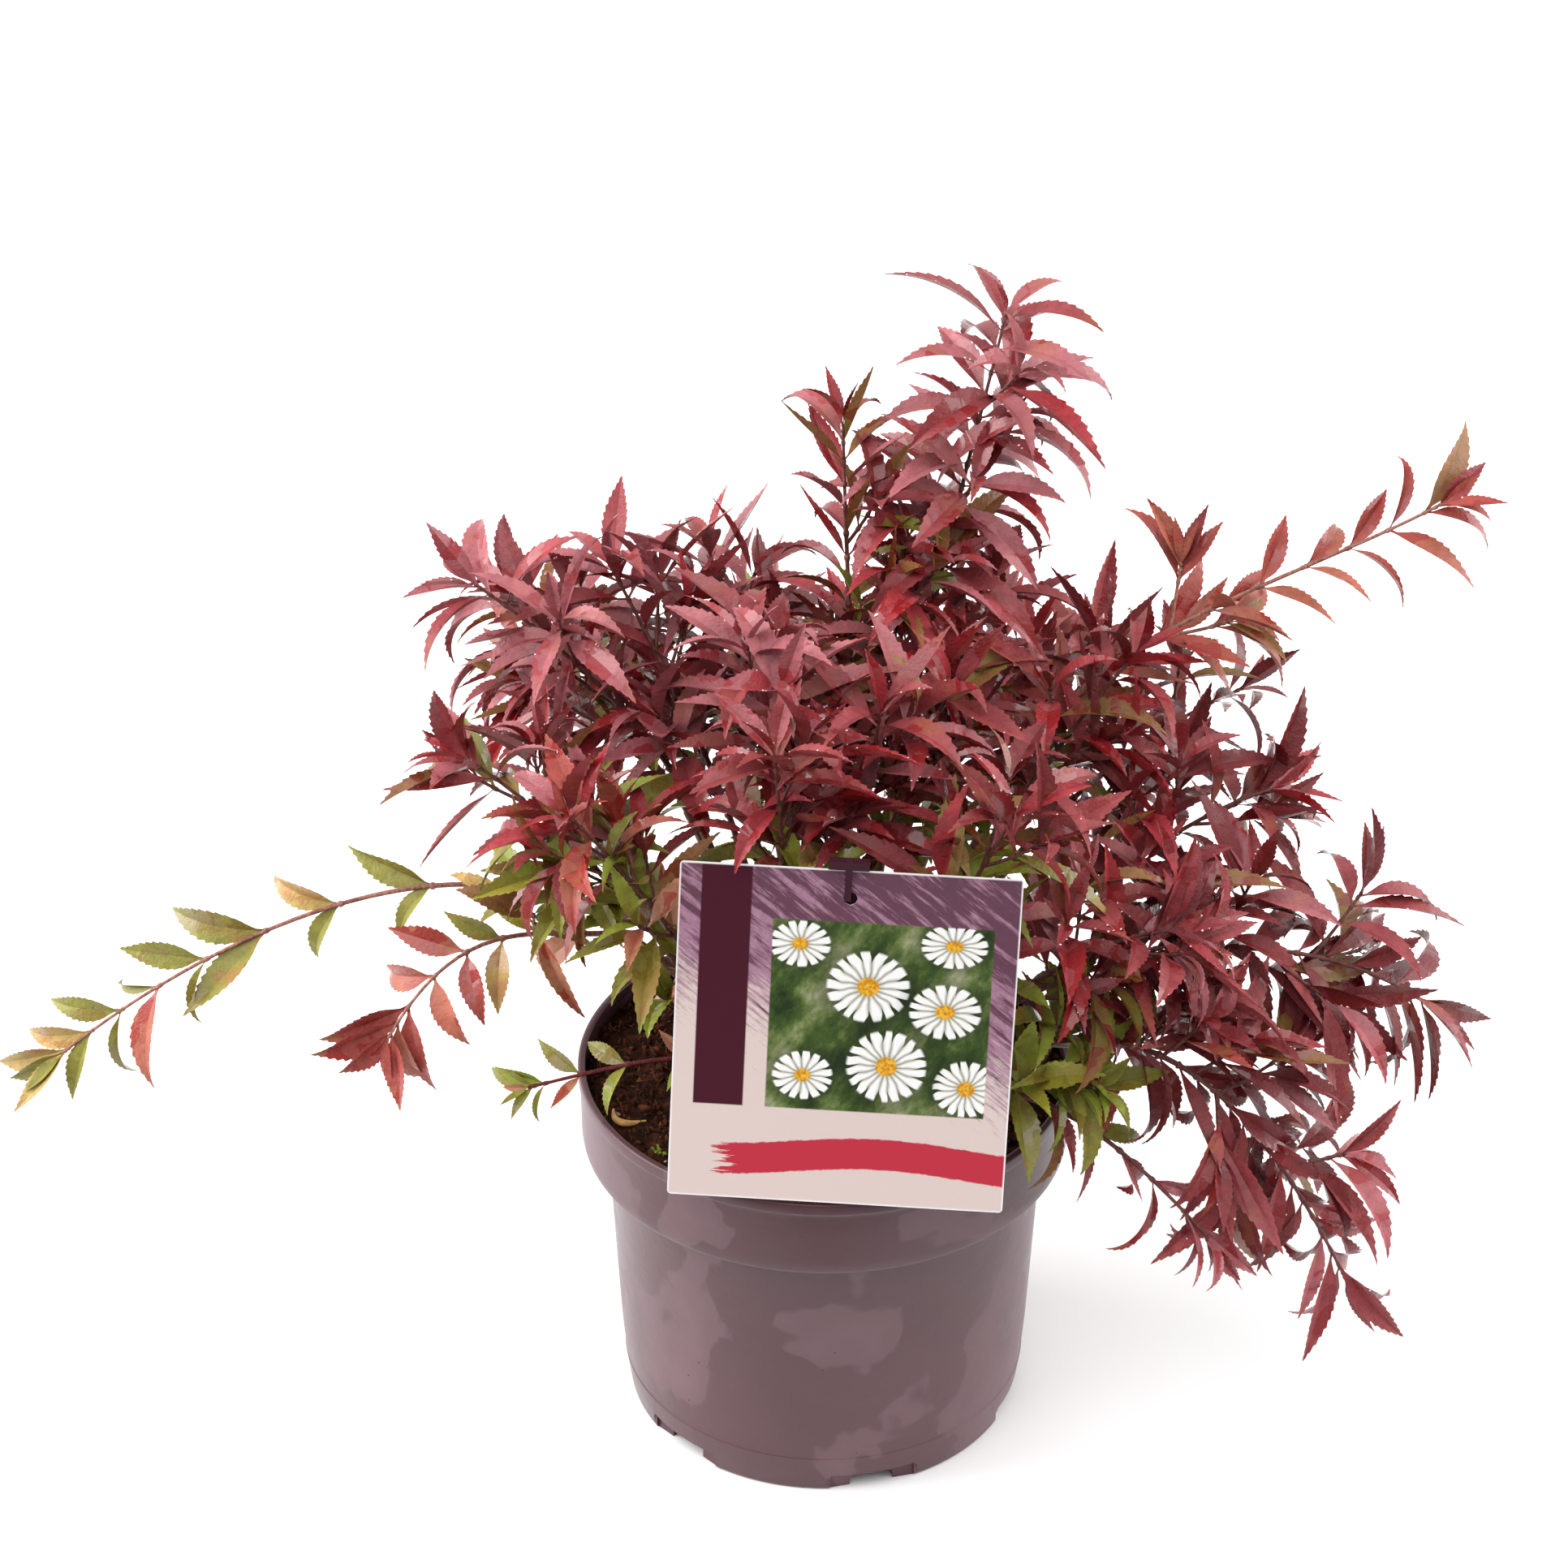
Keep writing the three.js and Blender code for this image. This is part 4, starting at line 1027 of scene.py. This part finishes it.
def make_limbs(name, slot, rows, recipe, sides, relief, finish, nodes=()):
    """A piece of round limbs. Each row is a limb's points with their radii."""
    verts, edges, girths = [], [], []
    for row in rows:
        edges += [(i, i + 1) for i in range(len(verts), len(verts) + len(row) - 1)]
        verts += [point * MM for point, _ in row]
        girths += [radius * MM for _, radius in row]
    mesh = new_mesh("lines", verts, [], edges)
    carry(mesh, "girth", "FLOAT", girths)
    realized(mesh, recipe, name, slot, nodes, Sides=sides, Relief=relief * MM, Material=finish)


def cane_row(name):
    """A cane's points and radii, from just under the compost."""
    path, radius = cane_path(name), CANES[name][-1]
    steps = max(12, int(path.length / 3))
    row = []
    for i in range(steps + 1):
        t = i / steps
        flare = FLARE * exp(-t * FLARE_FALL)
        row.append((path.point(t), radius + (CANE_TIP_RADIUS - radius) * t + flare))
    return [(row[0][0] - UP * 3, row[0][1] * 1.15), *row]


def twig_row(path, spray, bare, radius):
    """A twig's points and radii, with a swelling at each pair of leaves."""
    steps = max(5, int(path.length / 6))
    swells = {i / steps: 1 for i in range(steps + 1)}
    for along, _, _ in pairs_along(path, spray, bare):
        for shift, swell in ((-1, 1), (-0.3, NODE_SWELL), (0.3, NODE_SWELL), (1, 1)):
            swells[min(1, max(0, along + shift * (NODE_LENGTH / path.length)))] = swell
    return [(path.point(t), (radius + (TWIG_END_RADIUS - radius) * t) * swells[t]) for t in sorted(swells)]


def make_canes_and_twigs(twigs, recipe):
    rows = [cane_row(name) for name in CANES]
    bark = bark_finish("cane_bark", (0.085, 0.032, 0.024), (0.2, 0.085, 0.058), 0.62)
    make_limbs("canes", "bark", rows, recipe, 9, BARK_RELIEF, bark, [f"cane_{name}" for name in CANES])
    for kind, looks in TWIG_BARKS.items():
        rows = [twig_row(*twig) for twig in twigs if twig[1].bark == kind]
        bark = bark_finish(f"twig_{kind}", *looks)
        make_limbs(f"twigs_{kind}", "bark", rows, recipe, 6, TWIG_RELIEF, bark)


def rounded(profile):
    """A profile of (radius, height, rounding) corners with each corner turned on its rounding."""
    made = []
    for i, (r, z, rounding) in enumerate(profile):
        here = Vector((r, z))
        if not rounding:
            made.append(here)
            continue
        before = Vector(profile[i - 1][:2]) - here
        after = Vector(profile[i + 1][:2]) - here
        start = here + before.normalized() * min(rounding, before.length * 0.45)
        end = here + after.normalized() * min(rounding, after.length * 0.45)
        for t in (0, 0.25, 0.5, 0.75, 1):
            made.append(start.lerp(here, t).lerp(here.lerp(end, t), t))
    return made


def turned(profile, sides):
    """A profile turned round the upright axis; its ends lie on the axis."""
    verts, faces, rings = [], [], []
    for radius, height in profile:
        if radius < 1e-6:
            rings.append([len(verts)] * sides)
            verts.append(Vector((0, 0, height)) * MM)
            continue
        rings.append(range(len(verts), len(verts) + sides))
        for i in range(sides):
            angle = tau * i / sides
            verts.append(Vector((radius * cos(angle), radius * sin(angle), height)) * MM)
    for lower, upper in zip(rings, rings[1:]):
        for i in range(sides):
            j = (i + 1) % sides
            faces.append(list(dict.fromkeys((lower[i], lower[j], upper[j], upper[i]))))
    mesh = new_mesh("turned", verts, faces)
    mesh.validate()
    return mesh


def drain_cutters():
    """Blocks across the pot's foot, two to a notch."""
    cutters = []
    for i in range(DRAIN_COUNT):
        angle = radians(DRAIN_FIRST_ANGLE + i * 360 / DRAIN_COUNT)
        for (deep, wide, high), outside in DRAIN_CUTS:
            reach = BODY_FOOT_RADIUS + outside
            place = Matrix.Rotation(angle, 4, "Z") @ Matrix.Translation((reach * MM, 0, 0))
            place @= Matrix.Diagonal((deep * MM, wide * MM, high * 2 * MM, 1))
            grid = bmesh.new()
            bmesh.ops.create_cube(grid, size=1, matrix=place)
            edges = grid.edges[:]
            bmesh.ops.bevel(grid, geom=edges, offset=DRAIN_BEVEL * MM, segments=2, affect="EDGES")
            cutters.append(new_object("notch", mesh_of("notch", grid)))
    return cutters


def make_pot():
    """The pot, with its lip, collar, foot band and the drain notches under its edge."""
    rim, top, collar = RIM_RADIUS, POT_HEIGHT, COLLAR_FOOT_RADIUS
    body, foot, band, lift = BODY_TOP_RADIUS, BODY_FOOT_RADIUS, FOOT_BAND_RADIUS, FLOOR_LIFT
    lip, level = rim - LIP_WIDTH, FOOT_BAND_HEIGHT
    profile = [
        (0, 0, 0), (DIMPLE_RADIUS, 0, 0.8), (DIMPLE_RADIUS + 2, lift, 0.8), (FOOT_RING_RADIUS - 1, lift, 1),
        (FOOT_RING_RADIUS, 0, 0.6), (foot - 0.5, 0, 1.6), (band, level - 0.4, 0.3),
        (band - 0.25, level, 0.3), (band + 0.9, 30, 8), (body, COLLAR_FOOT + 0.5, 2.5),
        (collar - 0.6, COLLAR_FOOT, 1.6), (collar + 0.1, COLLAR_FOOT + 4, 2), (rim - 0.7, top - 6, 1),
        (rim - 0.55, top - 5, 0.4), (rim, top - 4.6, 0.4), (rim, top, 1.3), (lip, top, 1.2),
        (lip, top - 4, 0.6), (rim - WALL - 0.6, top - 5, 0.8), (collar - WALL, COLLAR_FOOT + 4, 1),
        (body - WALL, COLLAR_FOOT + 2, 1), (foot - WALL, lift + 2, 1), (0, lift + 2, 0),
    ]
    whole = new_object("pot", turned(rounded(profile), POT_SIDES))
    cutters = drain_cutters()
    for cutter in cutters:
        modifier = whole.modifiers.new("notch", "BOOLEAN")
        modifier.operation = "DIFFERENCE"
        modifier.solver = "EXACT"
        modifier.object = cutter
    mesh = baked(whole)
    bpy.data.batch_remove(cutters)
    new_piece("pot_shell", mesh, ["pot"], pot_finish())
    mesh.set_sharp_from_angle(angle=SHARP_ANGLE)


def crumb_shape(stretch, seed):
    """An uneven lump for the compost."""
    chance = Chance(seed * 977 + 5)
    grid = bmesh.new()
    bmesh.ops.create_icosphere(grid, subdivisions=1, radius=CRUMB_SIZE / 2 * MM)
    for vert in grid.verts:
        vert.co *= 0.65 + 0.7 * chance()
        vert.co.x *= stretch
        vert.co.z *= 0.6
    return mesh_of("crumb", grid)


def fibre_shape(bend):
    """A thin, curved, three-sided fibre."""
    verts, faces = [], []
    for i in range(FIBRE_STEPS + 1):
        t = i / FIBRE_STEPS - 0.5
        centre = Vector((t * FIBRE_LENGTH, bend * t * t * 8, bend * t * 1.5))
        for k in range(3):
            angle = tau * k / 3
            verts.append((centre + Vector((0, cos(angle), sin(angle))) * FIBRE_RADIUS) * MM)
    for i in range(FIBRE_STEPS):
        for k in range(3):
            a, b = i * 3 + k, i * 3 + (k + 1) % 3
            faces.append((a, b, b + 3, a + 3))
    last = FIBRE_STEPS * 3
    faces += [(2, 1, 0), (last, last + 1, last + 2)]
    return new_mesh("fibre", verts, faces)


def make_compost():
    """A crumbly skin over the compost. Its top is returned, for what is strewn there."""
    chance = Chance(4242)
    grid = bmesh.new()

    def corner(x, y, z):
        return grid.verts.new(Vector((x, y, z)) * MM)

    rows = [[corner(0, 0, SOIL_CROWN)] * SOIL_SPOKES]
    for ring in range(1, SOIL_RINGS + 1):
        radius = (SOIL_RADIUS - 0.8) * ring / SOIL_RINGS
        share = max(0, (radius - SOIL_CROWN_RADIUS) / (SOIL_RADIUS - SOIL_CROWN_RADIUS))
        level = SOIL_CROWN + (SOIL_EDGE - SOIL_CROWN) * share
        rows.append([])
        for spoke in range(SOIL_SPOKES):
            angle = tau * spoke / SOIL_SPOKES
            rough = 2.2 * (chance() - 0.5) if ring < SOIL_RINGS else -0.8
            swell = 0.9 * sin(angle * 5 + radius * 0.11) * sin(radius * 0.17 + 1)
            rows[-1].append(corner(radius * cos(angle), radius * sin(angle), level + rough + swell))
    rows.append([grid.verts.new((v.co.x, v.co.y, v.co.z - SOIL_SKIN_DEPTH * MM)) for v in rows[-1]])
    rows.append([corner(0, 0, SOIL_EDGE - SOIL_SKIN_DEPTH)] * SOIL_SPOKES)
    for inner, outside in zip(rows, rows[1:]):
        for i in range(SOIL_SPOKES):
            j = (i + 1) % SOIL_SPOKES
            grid.faces.new(dict.fromkeys((inner[i], outside[i], outside[j], inner[j])))
    new_piece("compost_skin", mesh_of("compost_skin", grid.copy()), ["compost"], compost_finish())

    grid.normal_update()
    for face in [face for face in grid.faces if face.normal.z < 0.3]:
        grid.faces.remove(face)
    return mesh_of("compost_top", grid)


def strew(top):
    """Crumbs, bits of bark, fibres and grit over the compost."""
    recipe = scatter_recipe()
    crumbs = hidden_collection("crumb", [crumb_shape(1 + 0.5 * i, i + 1) for i in range(4)])
    fibres = hidden_collection("fibre", [fibre_shape(bend) for bend in (0.5, 1.2, -0.9)])
    for seed, (name, (many, smallest, dark, light)) in enumerate(STREWN.items(), 3):
        inputs = {"Bits": fibres if name == "compost_fibres" else crumbs, "Density": float(many)}
        inputs |= {"Smallest": smallest, "Seed": seed, "Material": grain_finish(name, dark, light, 0.8)}
        realized(top.copy(), recipe, name, "compost", **inputs)
    for shapes in (crumbs, fibres):
        bpy.data.batch_remove([*shapes.objects, shapes])


def make_litter(recipe):
    """A curled dead leaf and a tuft of moss on the compost."""
    path = Path(*CURL_PATH)
    shares = [i / 10 for i in range(11)]
    rows = [[(path.point(t), CURL_RADIUS * sin(pi * (0.1 + 0.82 * t))) for t in shares]]
    finish = grain_finish("dead_leaf", (0.5, 0.27, 0.09), (0.8, 0.52, 0.2), 0.55, 150)
    make_limbs("dead_leaf_curl", "compost", rows, recipe, 8, 0.4, finish)

    chance = Chance(77)
    rows = []
    for _ in range(MOSS_SPRIGS):
        spread = Vector((chance() - 0.5, chance() - 0.5, 0)) * MOSS_HEIGHT * 1.4
        foot = MOSS_AT + spread * 0.8
        tip = foot + spread * 0.7 + UP * MOSS_HEIGHT * (0.5 + 0.5 * chance())
        path = Path(foot, foot + UP * MOSS_HEIGHT * 0.6, tip)
        rows.append([(path.point(t), 0.25 + 1.3 * t * (1.15 - t)) for t in shares[::2]])
    finish = grain_finish("moss", (0.1, 0.14, 0.016), (0.27, 0.33, 0.05), 0.6, 700)
    make_limbs("moss_tuft", "green_leaf", rows, recipe, 5, 0.2, finish)


def make_studio():
    """A pale floor that ends in front of the pot, white light all round and the lamps."""
    side, ahead = FLOOR_REACH, -FLOOR_AHEAD
    corners = [(-side, ahead, 0), (side, ahead, 0), (side, side, 0), (-side, side, 0)]
    floor = new_mesh("floor", corners, [(0, 1, 2, 3)])
    dress(floor, floor_finish())
    new_object("floor", floor)

    scene = bpy.context.scene
    scene.view_settings.view_transform = "Standard"
    scene.world = scene.world or bpy.data.worlds.new("studio")
    scene.world.use_nodes = True
    sky = Tree(scene.world.node_tree)
    behind = sky.node("TexCoord").split()[1]
    background = sky.tree.nodes["Background"].inputs
    sky.feed(background[0], (1, 1, 1))
    sky.feed(background[1], sky.node("MapRange", behind, -1, -0.3, CAMERA_SIDE_LIGHT, WORLD_LIGHT))
    for name, (at, size, power) in LIGHTS.items():
        lamp = bpy.data.lights.new(name, "AREA")
        lamp.shape = "RECTANGLE"
        lamp.size, lamp.size_y = size
        lamp.energy = power
        made = new_object(name, lamp)
        made.location = at
        made.rotation_euler = (LIGHTS_AIM - Vector(at)).to_track_quat("-Z", "Y").to_euler()


def make_camera():
    camera = bpy.data.cameras.new("camera")
    camera.sensor_width = SENSOR
    camera.lens = FOCAL_PIXELS / IMAGE_SIZE * SENSOR
    made = new_object("camera", camera)
    away = Vector((0, -cos(CAMERA_ELEVATION), sin(CAMERA_ELEVATION)))
    made.location = (CAMERA_TARGET + away * CAMERA_DISTANCE) * MM
    made.rotation_euler = (pi / 2 - CAMERA_ELEVATION, 0, 0)
    bpy.context.scene.camera = made


make_studio()
make_camera()
make_pot()
strew(make_compost())
limbs = limb_recipe()
make_litter(limbs)
all_leaves, all_twigs = grow()
make_canes_and_twigs(all_twigs, limbs)
make_leaves(all_leaves)
for node, finish in (("picture_card", card_finish()), ("card_stake", stake_finish())):
    dress(frame["nodes"][node].data, finish)

print("leaves", len(all_leaves), "twigs", len(all_twigs))
